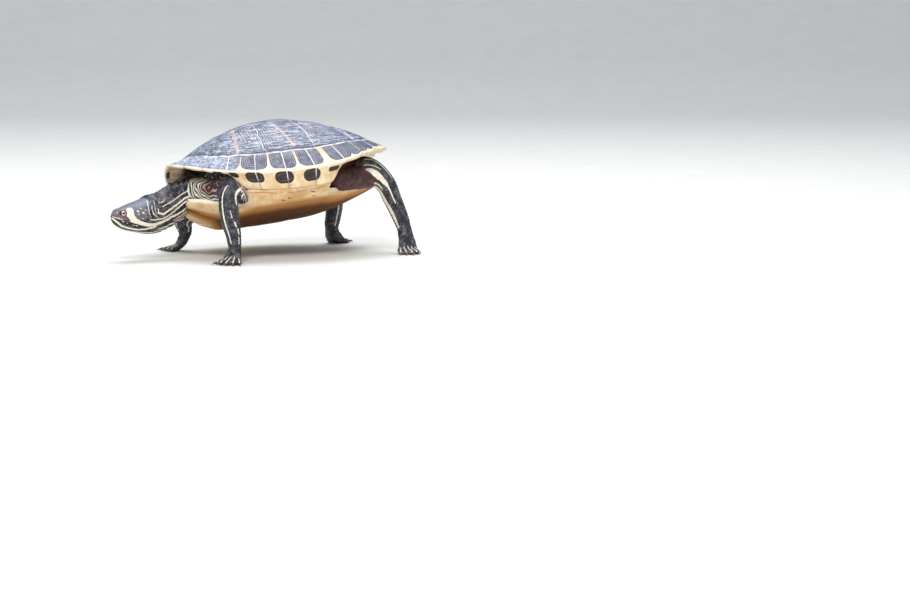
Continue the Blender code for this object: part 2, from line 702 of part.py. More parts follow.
def add_foot(name, skin, horn):
    """A webbed foot, palm and toes in one, cut flat where it stands, and its claws beyond a thin gap."""
    leg, heading, fan, reach, clawed, half, knuckle_share = FEET[name]
    stations = LEGS[leg]
    ankle = Vector(stations[-1][1:4])
    step = (ankle - Vector(through(stations, 0.995)[:3])).normalized()
    turn = math.radians(heading)
    ahead = Vector((-math.cos(turn), -math.sin(turn), 0))
    side = Vector((-ahead.y, ahead.x, 0))
    knuckle = ankle + ahead * reach * knuckle_share
    knuckle.z = KNUCKLE_HEIGHT * 0.7
    palm = palm_mesh(name, ankle + step * CUT, step, ahead, side, knuckle, stations[-1][4:6], half)
    foot = add(name, palm, skin)
    for index in range(TOES):
        place = 2 * index / (TOES - 1) - 1  # -1 and 1 at the outer toes
        spread = math.radians(heading + fan / 2 * place)
        out = Vector((-math.cos(spread), -math.sin(spread), 0))
        root = ankle.lerp(knuckle, 0.62) + side * half * 0.62 * place
        root.z = KNUCKLE_HEIGHT
        tip = Vector((ankle.x, ankle.y, TOE_TIP_HEIGHT)) + side * half * 0.1 * place
        tip += out * reach * (1 - 0.14 * abs(place))
        along = (tip - root).normalized()
        rings = [
            ellipse_ring(root.lerp(tip, share), along, side, radius, radius, radius, TOE_SIDES)
            for share, radius in ((0, TOE_RADIUS), (0.7, TOE_RADIUS * 0.97), (1, TOE_TIP_RADIUS))
        ]
        join(foot, add(f"{name}_toe_{index + 1}", skinned("toe", rings), skin))
        if index < clawed:
            level = Vector((along.x, along.y, along.z * 0.6)).normalized()
            add(f"{name}_claw_{index + 1}", claw_mesh(tip + along * 0.0004, level, side), horn)
    cut_away(foot, add(f"{name}_floor", mesh_of("floor", *block_below(ankle, 0.04)), skin))


def block_below(centre, half):
    """Corners and faces of a block whose top lies on the floor."""
    points = [
        Vector((centre.x + half * x, centre.y + half * y, z))
        for z in (-0.02, 0.0) for x, y in ((-1, -1), (1, -1), (1, 1), (-1, 1))
    ]  # fmt: skip
    return points, [(0, 3, 2, 1), (4, 5, 6, 7), (0, 1, 5, 4), (1, 2, 6, 5), (2, 3, 7, 6), (3, 0, 4, 7)]


def build():
    for thing in list(bpy.data.objects):
        bpy.data.objects.remove(thing)
    skin = material("skin", SKIN_DARK, 0.55)
    horn = material("carapace_horn", HORN_GREY, 0.45)
    cream = material("plastron_horn", HORN_CREAM, 0.45)
    claw = material("claw_horn", CLAW_BROWN, 0.4)
    eye = material("eye", EYE_YELLOW, 0.08)
    carapace = add("carapace", carapace_mesh(), horn)
    plastron = add("plastron", plastron_mesh(), cream)
    trunk = add("trunk", trunk_mesh(), skin)
    for piece in (carapace, plastron, trunk):
        piece.data.transform(TILT)
    keep_out = [grown(piece, f"{piece.name}_room", CUT) for piece in (trunk, plastron, carapace)]
    neck = add("neck", neck_mesh(), skin)
    head = add("head", head_mesh(), skin)
    for name, side in (("eye_left", 1), ("eye_right", -1)):
        centre = head_frame(EYE_BACK, side * EYE_OUT, EYE_UP)
        add(name, ball_mesh(name, centre, EYE_RADIUS), eye)
        cut_away(head, add(f"{name}_socket", ball_mesh(name, centre, EYE_RADIUS + CUT), eye))
    cut_away(neck, *keep_out)
    for name, stations in LEGS.items():
        cut_away(add(name, tube(name, stations, LEG_SIDES, LEG_RINGS), skin), *keep_out)
    cut_away(add("tail", tube("tail", TAIL, TAIL_SIDES, TAIL_RINGS), skin), *keep_out)
    for name in FEET:
        add_foot(name, skin, claw)
    place = bpy.data.objects.new("turtle", None)
    place.location = ORIGIN
    bpy.context.scene.collection.objects.link(place)
    for thing in bpy.context.scene.objects:
        if thing != place:
            thing.parent = place


build()
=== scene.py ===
"""The looks of the yellow-bellied slider: a detailed shell, one skin, two eyes and eighteen claws.

Metres, +Z up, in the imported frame. The shapes repeat the part's own tables and formulas at a fine pitch, in
the frame that the part was laid out in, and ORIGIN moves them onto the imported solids. The head points to -X
and the animal's left side to -Y. Markings are distances kept with the vertices, in metres on the shell and in
millimetres on the skin, and nodes turn them into colour.
"""

import math
from contextlib import contextmanager

import bmesh
import bpy
import numpy as np
from mathutils import Matrix, Vector, kdtree, noise


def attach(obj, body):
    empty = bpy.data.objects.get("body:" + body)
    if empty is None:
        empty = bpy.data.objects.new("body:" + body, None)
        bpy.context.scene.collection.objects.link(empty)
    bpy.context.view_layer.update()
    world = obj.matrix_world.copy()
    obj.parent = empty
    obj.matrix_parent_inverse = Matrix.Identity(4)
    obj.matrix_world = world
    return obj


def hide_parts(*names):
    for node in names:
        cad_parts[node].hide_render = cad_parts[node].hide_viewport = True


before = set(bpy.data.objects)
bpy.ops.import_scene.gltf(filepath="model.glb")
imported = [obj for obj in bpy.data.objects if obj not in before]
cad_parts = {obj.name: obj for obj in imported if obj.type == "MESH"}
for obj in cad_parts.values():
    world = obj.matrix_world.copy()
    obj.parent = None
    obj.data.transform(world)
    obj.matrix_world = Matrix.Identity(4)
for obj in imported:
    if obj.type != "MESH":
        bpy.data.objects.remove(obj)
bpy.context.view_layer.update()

# Stance: the shell leans onto its right side and its nose is down.
PITCH = math.radians(5.5)
ROLL = math.radians(17.0)
STANCE = (0.010, -0.0046, 0.0400)
ORIGIN = np.array((0.02715, -0.00008, 0.0))  # how far the layout was moved into the imported frame
TILT = Matrix.Translation(STANCE) @ Matrix.Rotation(-PITCH, 4, "Y") @ Matrix.Rotation(-ROLL, 4, "X")

# The shell, in its own frame: Z = 0 is the underside of the plastron.
SHELL_LENGTH = 0.240
SHELL_WIDTH = 0.186
HALF_LENGTH, HALF_WIDTH = SHELL_LENGTH / 2, SHELL_WIDTH / 2
SHELL_TOP = 0.1010
PEAK = -0.05  # where the ridge is highest, on the plan
RIM = (  # degrees round the rim from the nose: its height
    (0, 0.0705), (20, 0.0600), (40, 0.0468), (60, 0.0358), (80, 0.0305),
    (100, 0.0308), (120, 0.0385), (140, 0.0453), (160, 0.0500), (180, 0.0530),
)  # fmt: skip
SHELL_WALL = 0.006
RIM_LIP = 0.0030  # height of the rim's rounded edge
BRIDGE_DROP = 0.014  # how far the marginals' underside slopes down inwards over the bridge
BORDER = (  # degrees round the rim from the nose: reach of the seam inside the marginals
    (0, 0.850), (32, 0.895), (56, 0.860), (76, 0.835), (104, 0.833), (136, 0.875), (180, 0.850),
)  # fmt: skip
MARGINAL_SEAMS = (4.5, 18, 31, 45, 59.7, 75, 90, 107.5, 121, 135, 149.5, 165, 180)
BRIDGE_START, BRIDGE_END = 49.5, 101.0  # degrees round the rim
BRIDGE_REACH = 0.895  # on the plan, where the bridge meets the marginals
UNDERSIDE = 0.105  # width of the marginals' underside, on the plan
PLAN_SCALE = 0.105  # metres for one unit of the plan, on the whole
PLASTRON_WALL = 0.005
FRONT_CURL, REAR_CURL = 0.022, 0.014  # how far the plastron's ends turn up
CUT = 0.0004  # clearance between the flesh and the shell
GROOVE_DEPTH, GROOVE_WIDTH = 0.0006, 0.0007  # of the seams between the scutes


# --- numbers ---


def smooth(value, low=0.0, high=1.0):
    """0 below low, 1 above high, and an S-curve between."""
    share = np.clip((np.asarray(value, float) - low) / (high - low), 0, 1)
    return share * share * (3 - 2 * share)


def through(points, at):
    """The smooth curve through (position, values...) points, read at an array of positions."""
    rows = np.array(points, float)
    at = np.clip(np.atleast_1d(np.asarray(at, float)), rows[0, 0], rows[-1, 0])
    index = np.clip(np.searchsorted(rows[1:, 0], at), 0, len(rows) - 2)
    low, high = rows[index], rows[index + 1]
    before, after = rows[np.maximum(index - 1, 0)], rows[np.minimum(index + 2, len(rows) - 1)]
    span = high[:, :1] - low[:, :1]
    share = (at[:, None] - low[:, :1]) / span
    rise_low = (high - before) / (high[:, :1] - before[:, :1]) * span
    rise_high = (after - low) / (after[:, :1] - low[:, :1]) * span
    square, cube = share**2, share**3
    found = low * (2 * cube - 3 * square + 1) + high * (3 * square - 2 * cube)
    found += rise_low * (cube - 2 * square + share) + rise_high * (cube - square)
    return found[:, 1:]


def unit(vectors):
    return vectors / np.maximum(np.linalg.norm(vectors, axis=-1, keepdims=True), 1e-12)


def from_line(points, start, end):
    """(share of the way along a line, offset from the line) of each point."""
    start, way = np.array(start), np.array(end) - np.array(start)
    share = np.clip((points - start) @ way / (way @ way), 0, 1)
    return share, points - start - share[:, None] * way


def from_lines(points, lines, far):
    """Distance to the nearest line's edge, negative inside. Lines are (start, end, half-width at each)."""
    best = np.full(len(points), far)
    for start, end, half_start, half_end in lines:
        share, off = from_line(points, start, end)
        best = np.minimum(best, np.linalg.norm(off, axis=1) - half_start - (half_end - half_start) * share)
    return best


def wrapped(degrees):
    """The same angles from -180 to 180."""
    return (degrees + 180) % 360 - 180


def nearest(points, others):
    """(index of the nearest of the others, its distance) for each point."""
    tree = kdtree.KDTree(len(others))
    for index, other in enumerate(others.tolist()):
        tree.insert(other, index)
    tree.balance()
    found = [tree.find(p)[1:] for p in points.tolist()]
    return (np.array(values) for values in zip(*found))


def bell(value, width):
    """1 where value is 0, falling to nothing on both sides over about twice that width."""
    return np.exp(-((value / width) ** 2))


def ripple(value, pitch, shift=0.0):
    return np.sin(value * 2 * np.pi / pitch + shift)


def wobble(points, size, seed=0.0):
    """Smooth noise from -1 to 1 at each point, with bumps of about that size."""
    shift = Vector((seed * 7.3, seed * 3.1, seed * 5.7))
    return np.array([noise.noise(Vector(p) / size + shift) for p in points])


# --- meshes ---


def linked(made):
    bpy.context.scene.collection.objects.link(made)
    return made


def new_object(name, points, faces, finish=None):
    mesh = bpy.data.meshes.new(name)
    mesh.from_pydata(np.asarray(points).tolist(), [], faces)
    mesh.shade_smooth()
    if finish:
        mesh.materials.append(finish)
    return linked(bpy.data.objects.new(name, mesh))


@contextmanager
def editing(mesh):
    """The mesh opened for bmesh tools, and written back afterwards."""
    form = bmesh.new()
    form.from_mesh(mesh)
    yield form
    form.to_mesh(mesh)
    form.free()


def closed_object(name, points, faces, finish=None):
    """A closed piece from points of the layout's frame, with its faces turned to point out."""
    made = new_object(name, points + ORIGIN, faces, finish)
    with editing(made.data) as form:
        bmesh.ops.recalc_face_normals(form, faces=form.faces)
    return made


def mark(made, **fields):
    """Keeps numbers with the vertices, for the nodes to read."""
    for name, values in fields.items():
        kept = made.data.attributes.new(name, "FLOAT", "POINT")
        kept.data.foreach_set("value", np.asarray(values, np.float32))


def grid_faces(rows, columns):
    """Faces of a grid of points that closes on itself along its rows."""
    row = np.arange(rows - 1)[:, None] * columns
    side = np.arange(columns)[None, :]
    after = (side + 1) % columns
    faces = np.stack([row + side, row + after, row + columns + after, row + columns + side], -1)
    return faces.reshape(-1, 4).tolist()


def grid_normals(grid):
    """A unit normal at each point of a grid that closes on itself along its rows."""
    around = np.roll(grid, -1, 1) - np.roll(grid, 1, 1)
    return unit(np.cross(np.gradient(grid, axis=0), around)).reshape(-1, 3)


def numbers(items, field, width, kind=np.float32):
    """What a mesh keeps with each of its items, as rows."""
    values = np.empty(len(items) * width, kind)
    items.foreach_get(field, values)
    return values.reshape(-1, width)


def vertices(made):
    return numbers(made.data.vertices, "co", 3).astype(float)


def move_vertices(made, points):
    made.data.vertices.foreach_set("co", np.asarray(points, np.float32).ravel())
    made.data.update()


def tilted(points):
    turn = np.array(TILT)
    return points @ turn[:3, :3].T + turn[:3, 3]


# --- paint ---


def rgb(*values):
    """A colour from its usual 0 to 255 values."""
    return tuple(((v / 255 + 0.055) / 1.055) ** 2.4 if v > 10 else v / 255 / 12.92 for v in values)


class Paint:
    """A material built up from sockets and numbers. Colours are tuples of 0 to 255 values."""

    def __init__(self, name, roughness=0.5, specular=0.5):
        self.material = bpy.data.materials.new(name)
        self.material.use_nodes = True
        self.nodes = self.material.node_tree.nodes
        self.shader = self.nodes["Principled BSDF"]
        self.shader.inputs["Roughness"].default_value = roughness
        self.shader.inputs["Specular IOR Level"].default_value = specular
        self.place = self.nodes.new("ShaderNodeTexCoord").outputs["Object"]

    def put(self, socket, value):
        if isinstance(value, bpy.types.NodeSocket):
            self.material.node_tree.links.new(value, socket)
        elif socket.type == "RGBA":
            socket.default_value = (*rgb(*value), 1)
        else:
            socket.default_value = value

    def node(self, kind, inputs, output=0, **settings):
        """An output of a new node. inputs maps its sockets' names or places to what they get."""
        made = self.nodes.new(f"ShaderNode{kind}")
        for name, value in settings.items():
            setattr(made, name, value)
        for name, value in dict(inputs).items():
            self.put(made.inputs[name], value)
        return made.outputs[output]

    def field(self, name):
        return self.node("Attribute", {}, "Fac", attribute_name=name)

    def math(self, operation, *values):
        return self.node("Math", enumerate(values), operation=operation)

    def times(self, *values):
        product = values[0]
        for value in values[1:]:
            product = self.math("MULTIPLY", product, value)
        return product

    def less(self, value):
        """What is left of 1."""
        return self.math("SUBTRACT", 1.0, value)

    def wave(self, value, pace):
        return self.math("SINE", self.times(value, pace))

    def rough(self, name, amount, by):
        """A field of the mesh, shifted by a noise so that what it bounds has uneven edges."""
        return self.math("ADD", self.field(name), self.times(self.math("SUBTRACT", by, 0.5), amount))

    def ramp(self, value, low, high, start=0.0, end=1.0):
        """start where value is low, end where it is high, and an S-curve between."""
        given = enumerate((value, low, high, start, end))
        return self.node("MapRange", given, interpolation_type="SMOOTHSTEP")

    def mix(self, share, one, other):
        return self.node("Mix", {0: share, 6: one, 7: other}, 2, data_type="RGBA")

    def shade(self, value, low, high, one, other):
        """From one colour, where value is low, to the other."""
        return self.mix(self.ramp(value, low, high), one, other)

    def coats(self, colour, *coats):
        """A colour with (share, colour) coats laid over it in turn."""
        for share, coat in coats:
            colour = self.mix(share, colour, coat)
        return colour

    def noise(self, size, detail=3.0, roughness=0.55, stretch=None):
        place = self.node("Mapping", {"Vector": self.place, "Scale": stretch}) if stretch else self.place
        given = {"Vector": place, "Scale": 1 / size, "Detail": detail, "Roughness": roughness}
        return self.node("TexNoise", given)

    def cells(self, size, feature="F1"):
        given = {"Vector": self.place, "Scale": 1 / size, "Randomness": 0.9}
        return self.node("TexVoronoi", given, feature=feature)

    def finished(self, colour, roughness=None, relief=()):
        """The material. relief holds (height from 0 to 1, depth in metres) pairs."""
        self.put(self.shader.inputs["Base Color"], colour)
        if roughness:
            self.put(self.shader.inputs["Roughness"], roughness)
        given = {"Strength": 1.0}
        for height, depth in relief:
            given["Normal"] = self.node("Bump", {**given, "Height": height, "Distance": depth})
        if relief:
            self.put(self.shader.inputs["Normal"], given["Normal"])
        return self.material


# --- the shell ---


def round_rim(table, degrees):
    """What a table of values round the rim gives at each angle, the same on both sides."""
    degrees = np.abs(np.asarray(degrees, float))
    return through(table, degrees.ravel())[:, 0].reshape(degrees.shape)


def fall(x):
    """How far the ridge has come down from its top, as a share, on the way to the nose or the tail."""
    reach = np.minimum(np.abs(x - PEAK) / np.where(x < PEAK, 1 + PEAK, 1 - PEAK), 1)
    front = reach**1.75 + 2.6 * reach**6 * (1 - reach)
    rear = reach**1.6 + 3.0 * reach**9 * (1 - reach)
    return np.where(x < PEAK, front, rear)


def dome_height(x, y):
    """Height of the dome over a point in the unit circle that stands for the shell's plan."""
    end_rim = np.where(x < PEAK, RIM[0][1], RIM[-1][1])
    ridge = SHELL_TOP - (SHELL_TOP - end_rim) * fall(x)
    half = np.sqrt(np.maximum(1 - x * x, 1e-9))
    across = np.minimum(np.abs(y) / half, 1) ** 2.15
    return ridge * (1 - across) + round_rim(RIM, np.degrees(np.arctan2(y, -x))) * across


def on_plan(x, y, height):
    """Points of the shell frame from unit-circle coordinates. The shell is widest behind its middle."""
    height = np.broadcast_to(height, np.shape(x))
    return np.stack([x * HALF_LENGTH, y * HALF_WIDTH * (1 + 0.04 * x), height], -1)


def polar(degrees, reach):
    angle = np.radians(degrees)
    return -reach * np.cos(angle), reach * np.sin(angle)


def bridged(degrees):
    """1 where the shell is closed by the bridge, and 0 at its front and rear openings."""
    angle = np.abs(degrees)
    closed = 1 - smooth(angle, BRIDGE_END - 2, BRIDGE_END + 8)
    return smooth(angle, BRIDGE_START - 8, BRIDGE_START + 2) * closed


def under_height(degrees, reach):
    """Height of the marginals' underside: it turns down steeply over the bridge."""
    inwards = smooth(1 - reach, 0.0, UNDERSIDE)
    return round_rim(RIM, degrees) - RIM_LIP - BRIDGE_DROP * bridged(degrees) * inwards


def rim_reach(degrees):
    """The rim draws in at the seams of the hind marginals, which gives it a saw edge."""
    angle = np.abs(degrees)
    from_seam = np.abs(angle[:, None] - np.array(MARGINAL_SEAMS)).min(1)
    return 1 - 0.028 * smooth(angle, 100, 135) * np.maximum(1 - from_seam / 7.0, 0) ** 1.4


def scute_corners():
    """Named corner points of the scutes of the left half, in unit-circle coordinates."""
    corners = {}
    for index, angle in enumerate(MARGINAL_SEAMS):
        corners[f"rim{index}"] = polar(angle, 1.0)
        corners[f"seam{index}"] = polar(angle, round_rim(BORDER, angle))
    for name, angle in (("first", 13), ("c12", 67), ("c23", 97), ("c34", 127), ("last", 155)):
        corners[name] = polar(angle, round_rim(BORDER, angle))
    corners.update(
        v12=(-0.47, 0.17), v2=(-0.26, 0.31), v23=(-0.10, 0.19), v3=(0.10, 0.32),
        v34=(0.28, 0.19), v4=(0.46, 0.29), v45=(0.62, 0.13), v1=(-0.62, 0.23),
    )  # fmt: skip
    return corners


VERTEBRALS = (
    ("seam0", "first", "v1", "v12"),
    ("v12", "v2", "v23"),
    ("v23", "v3", "v34"),
    ("v34", "v4", "v45"),
    ("v45", "last", "seam11", "seam12"),
)
COSTALS = (
    ("first", "seam1", "seam2", "seam3", "seam4", "c12", "v2", "v12", "v1"),
    ("c12", "seam5", "seam6", "c23", "v3", "v23", "v2"),
    ("c23", "seam7", "seam8", "c34", "v4", "v34", "v3"),
    ("c34", "seam9", "seam10", "last", "v45", "v4"),
)


def scutes():
    """Every scute of the carapace as (kind, loop of corner points)."""
    corners = scute_corners()
    loops = []
    for names in VERTEBRALS:
        side = [corners[n] for n in names]
        loops.append(("vertebral", side + [(x, -y) for x, y in reversed(side) if abs(y) > 1e-6]))
    sides = [("costal", [corners[n] for n in names]) for names in COSTALS]
    for index in range(len(MARGINAL_SEAMS) - 1):
        inner = [corners[f"seam{index + 1}"], corners[f"seam{index}"]]
        sides.append(("marginal", [corners[f"rim{index}"], corners[f"rim{index + 1}"], *inner]))
    loops += sides + [(kind, [(x, -y) for x, y in reversed(side)]) for kind, side in sides]
    nuchal = [corners["rim0"], corners["seam0"]]
    loops.append(("marginal", [(x, -y) for x, y in reversed(nuchal)] + nuchal))
    return loops


def seam_samples():
    """Points along every seam, in the shell frame, with the small waver that horn seams have."""
    drawn, kept = set(), []
    for _, loop in scutes():
        for start, end in zip(loop, loop[1:] + loop[:1]):
            key = tuple(sorted((tuple(np.round(start, 4).tolist()), tuple(np.round(end, 4).tolist()))))
            on_rim = math.hypot(*start) > 0.97 and math.hypot(*end) > 0.97
            if key in drawn or on_rim:
                continue
            drawn.add(key)
            length = math.hypot((end[0] - start[0]) * HALF_LENGTH, (end[1] - start[1]) * HALF_WIDTH)
            share = np.linspace(0, 1, max(int(length / 0.0003), 2))
            x = start[0] + (end[0] - start[0]) * share
            y = start[1] + (end[1] - start[1]) * share
            bend = np.sin(np.pi * share) * 0.012
            x += bend * np.sin(9 * y + 5 * start[0]) + 0.004 * np.sin(41 * y + 13 * x)
            y += bend * np.sin(8 * x + 4 * start[1]) + 0.004 * np.sin(37 * x + 11 * y)
            kept.append(on_plan(x, y, dome_height(x, y)))
    reach = np.linspace(1.0, 0.80, 60)
    for angle in MARGINAL_SEAMS:
        for side in (-1, 1):
            kept.append(on_plan(*polar(side * angle, reach), under_height(angle, reach)))
    return np.concatenate(kept)


def growth(x, y):
    """How far out each point is in its scute: 0 at the scute's first plate and 1 at its seam."""
    best = np.full(len(x), 9.0)
    for kind, loop in scutes():
        corner = np.array(loop)
        after = np.roll(corner, -1, 0)
        centre = corner.mean(0)
        if kind == "costal":
            centre = centre * (1, 0.93) + (0.02, 0)
        elif kind == "marginal":
            centre = centre * 1.03
        turned = np.sum(corner[:, 0] * after[:, 1] - corner[:, 1] * after[:, 0]) < 0
        gauge = np.zeros(len(x))
        for start, end in zip(corner, after):
            along = end - start
            out = np.array((along[1], -along[0])) * (-1 if turned else 1)
            reach = max(out @ (start - centre), 1e-6)
            gauge = np.maximum(gauge, ((x - centre[0]) * out[0] + (y - centre[1]) * out[1]) / reach)
        best = np.minimum(best, gauge)
    return best


COLUMNS = 840  # of points round the carapace
TOP_ROWS, LIP_ROWS = 150, 6  # rings from its top to its rim, and round the rim's edge


def ceiling_height(x, y):
    """Height of the hollow's vault."""
    return dome_height(x, y) - SHELL_WALL


def carapace():
    """The upper shell: grooved scutes, a rounded rim, the marginals' undersides and the hollow."""
    degrees = np.linspace(-180, 180, COLUMNS, endpoint=False)
    rim = rim_reach(degrees)
    low = under_height(degrees, BRIDGE_REACH)
    rings, plan = [], []

    def add_ring(reach, height):
        x, y = polar(degrees, reach)
        plan.append((x, y))
        rings.append(on_plan(x, y, height(x, y) if callable(height) else height))

    for share in np.linspace(1 / TOP_ROWS, 1, TOP_ROWS):
        add_ring(share * rim, dome_height)
    for share in np.linspace(0, 1, LIP_ROWS + 1)[1:]:
        add_ring(rim - 0.015 * share**2, round_rim(RIM, degrees) - RIM_LIP * share)
    for reach in np.linspace(0.985, BRIDGE_REACH, 16)[1:]:
        add_ring(reach - (1 - rim) * smooth(reach, 0.93, 0.985), under_height(degrees, reach))
    for reach in (0.875, 0.857, 0.838):
        add_ring(reach, low)
    add_ring(0.80, lambda x, y: (ceiling_height(x, y) + low) / 2)
    for reach in (0.77, 0.70, 0.60, 0.50, 0.42, 0.3, 0.2, 0.1):
        add_ring(reach, ceiling_height)
    grid = np.array(rings)
    points = grid.reshape(-1, 3)
    plan_x, plan_y = (np.concatenate(values) for values in zip(*plan))
    step = np.linalg.norm(np.diff(grid, axis=0), axis=2)
    down = np.concatenate([np.zeros((1, COLUMNS)), np.cumsum(step, 0)])
    from_rim = (down[TOP_ROWS - 1] - down).ravel()
    _, seam = nearest(points, seam_samples())
    normal = grid_normals(grid)
    normal *= np.sign(normal[: COLUMNS * 10, 2].mean())
    carved = np.repeat(smooth(np.arange(len(rings)), TOP_ROWS + 22, TOP_ROWS + 16), COLUMNS)
    carved[: COLUMNS * 3] = 0
    relief = -GROOVE_DEPTH * bell(seam, GROOVE_WIDTH) - 0.0005 * smooth(seam, 0.010, 0)
    relief += 0.00025 * wobble(points, 0.018, 1.0) + 0.00012 * wobble(points, 0.006, 2.0)
    points = points + normal * (relief * carved)[:, None]
    faces = grid_faces(len(rings), COLUMNS)
    last = (len(rings) - 1) * COLUMNS
    for side in range(COLUMNS):
        after = (side + 1) % COLUMNS
        faces += [(after, side, len(points)), (last + side, last + after, len(points) + 1)]
    poles = np.stack([on_plan(0.0, 0.0, SHELL_TOP), on_plan(0.0, 0.0, SHELL_TOP - SHELL_WALL)])
    made = closed_object("carapace_horn", tilted(np.concatenate([points, poles])), faces, carapace_paint())
    upper, lower, cross = rim_marks(grid[TOP_ROWS - 1], degrees, from_rim)
    angle = np.degrees(np.arctan2(plan_y, -plan_x))
    inside = (round_rim(BORDER, angle) - np.hypot(plan_x, plan_y)) * PLAN_SCALE
    fields = (  # and their values at the two poles
        ("seam", seam, 0.0, 0.0), ("grown", growth(plan_x, plan_y), 0.0, 0.0),
        ("from_rim", from_rim, 0.1, -0.1), ("ahead", np.abs(angle), 90.0, 90.0),
        ("upper", upper, 0.01, 0.01), ("lower", lower, 0.01, 0.01), ("cross", cross, 0.01, 0.01),
        ("inside", inside, 0.05, 0.05), ("bar", bars(plan_x, np.abs(plan_y)), 0.02, 0.02),
    )  # fmt: skip
    mark(made, **{name: np.append(values, at_poles) for name, values, *at_poles in fields})
    return made


def rounded_box(across, along, half_across, half_along, corner):
    """Distance to a box with round corners: negative inside."""
    a = np.abs(across) - half_across + corner
    b = np.abs(along) - half_along + corner
    outside = np.hypot(np.maximum(a, 0), np.maximum(b, 0))
    return outside + np.minimum(np.maximum(a, b), 0) - corner


LOWER_MARKS = (  # dark marks: degrees round the rim, distance above it, half-length along it, half-width
    (58.6, -0.0058, 0.0096, 0.0060), (73.4, -0.0070, 0.0100, 0.0066), (87.8, -0.0074, 0.0096, 0.0064),
    (100.2, -0.0050, 0.0070, 0.0024), (39.5, -0.0040, 0.0056, 0.0029), (48.0, -0.0042, 0.0052, 0.0031),
    (25.0, -0.0060, 0.0085, 0.0022), (11.0, -0.0052, 0.0072, 0.0020),
)  # fmt: skip
BLOTCH_LOW = 0.0036  # above the rim: where the blotches of the marginals begin
BLOTCH_HALF = 0.0143
BLOTCH_AHEAD = 0.0012  # how far their middles lie in front of the seams


def rim_marks(rim_ring, degrees, from_rim):
    """Distances to the blotches above the rim, to the marks below it, and to the marginals' seams."""
    length = np.linalg.norm(np.roll(rim_ring, -1, 0) - rim_ring, axis=1)
    travelled = np.concatenate([[0], np.cumsum(length)[:-1]])
    total = length.sum()
    rows = len(from_rim) // len(degrees)

    def gaps(angles):
        gap = travelled[:, None] - np.interp(angles, degrees, travelled)[None, :]
        gap = (gap + total / 2) % total - total / 2
        return np.tile(gap * np.sign(degrees + 1e-9)[:, None], (rows, 1))

    seams = np.array(MARGINAL_SEAMS[:-1])
    gap = gaps(np.concatenate([seams, -seams, [-180.0]]))
    cross = np.abs(gap).min(1)
    gap = gap[np.arange(len(gap)), np.abs(gap + BLOTCH_AHEAD).argmin(1)]
    low = np.tile(BLOTCH_LOW - 0.0022 * smooth(np.abs(degrees), 98, 120), rows)
    upper = rounded_box(gap + BLOTCH_AHEAD, from_rim - low - 0.03, BLOTCH_HALF, 0.03, 0.0075)
    lower = np.full(len(from_rim), 0.02)
    for angle, below, half, thick in LOWER_MARKS:
        for at in (angle, -angle):
            across = gaps(np.array([at]))[:, 0]
            lower = np.minimum(lower, rounded_box(across, from_rim - below, half, thick, thick * 0.95))
    return upper, lower, cross


BARS = (  # pale bars down the middles of the costal scutes: start and end on the plan, half-width
    (-0.42, 0.247, -0.54, 0.63, 0.0016), (-0.11, 0.34, -0.10, 0.55, 0.0018),
    (-0.10, 0.55, -0.078, 0.77, 0.0016),
    (0.155, 0.42, 0.20, 0.52, 0.0026), (0.43, 0.38, 0.50, 0.62, 0.0014), (-0.41, 0.44, -0.405, 0.45, 0.0014),
    (-0.18, 0.50, -0.165, 0.66, 0.0006), (-0.02, 0.02, -0.02, 0.14, 0.0014), (0.33, 0.02, 0.33, 0.12, 0.0012),
)  # fmt: skip


def bars(x, y):
    """Distance to the pale bars of the costals."""
    half_size = np.array((HALF_LENGTH, HALF_WIDTH))
    lines = [((x0, y0) * half_size, (x1, y1) * half_size, half, half) for x0, y0, x1, y1, half in BARS]
    return from_lines(np.stack([x, y], -1) * half_size, lines, 1.0)


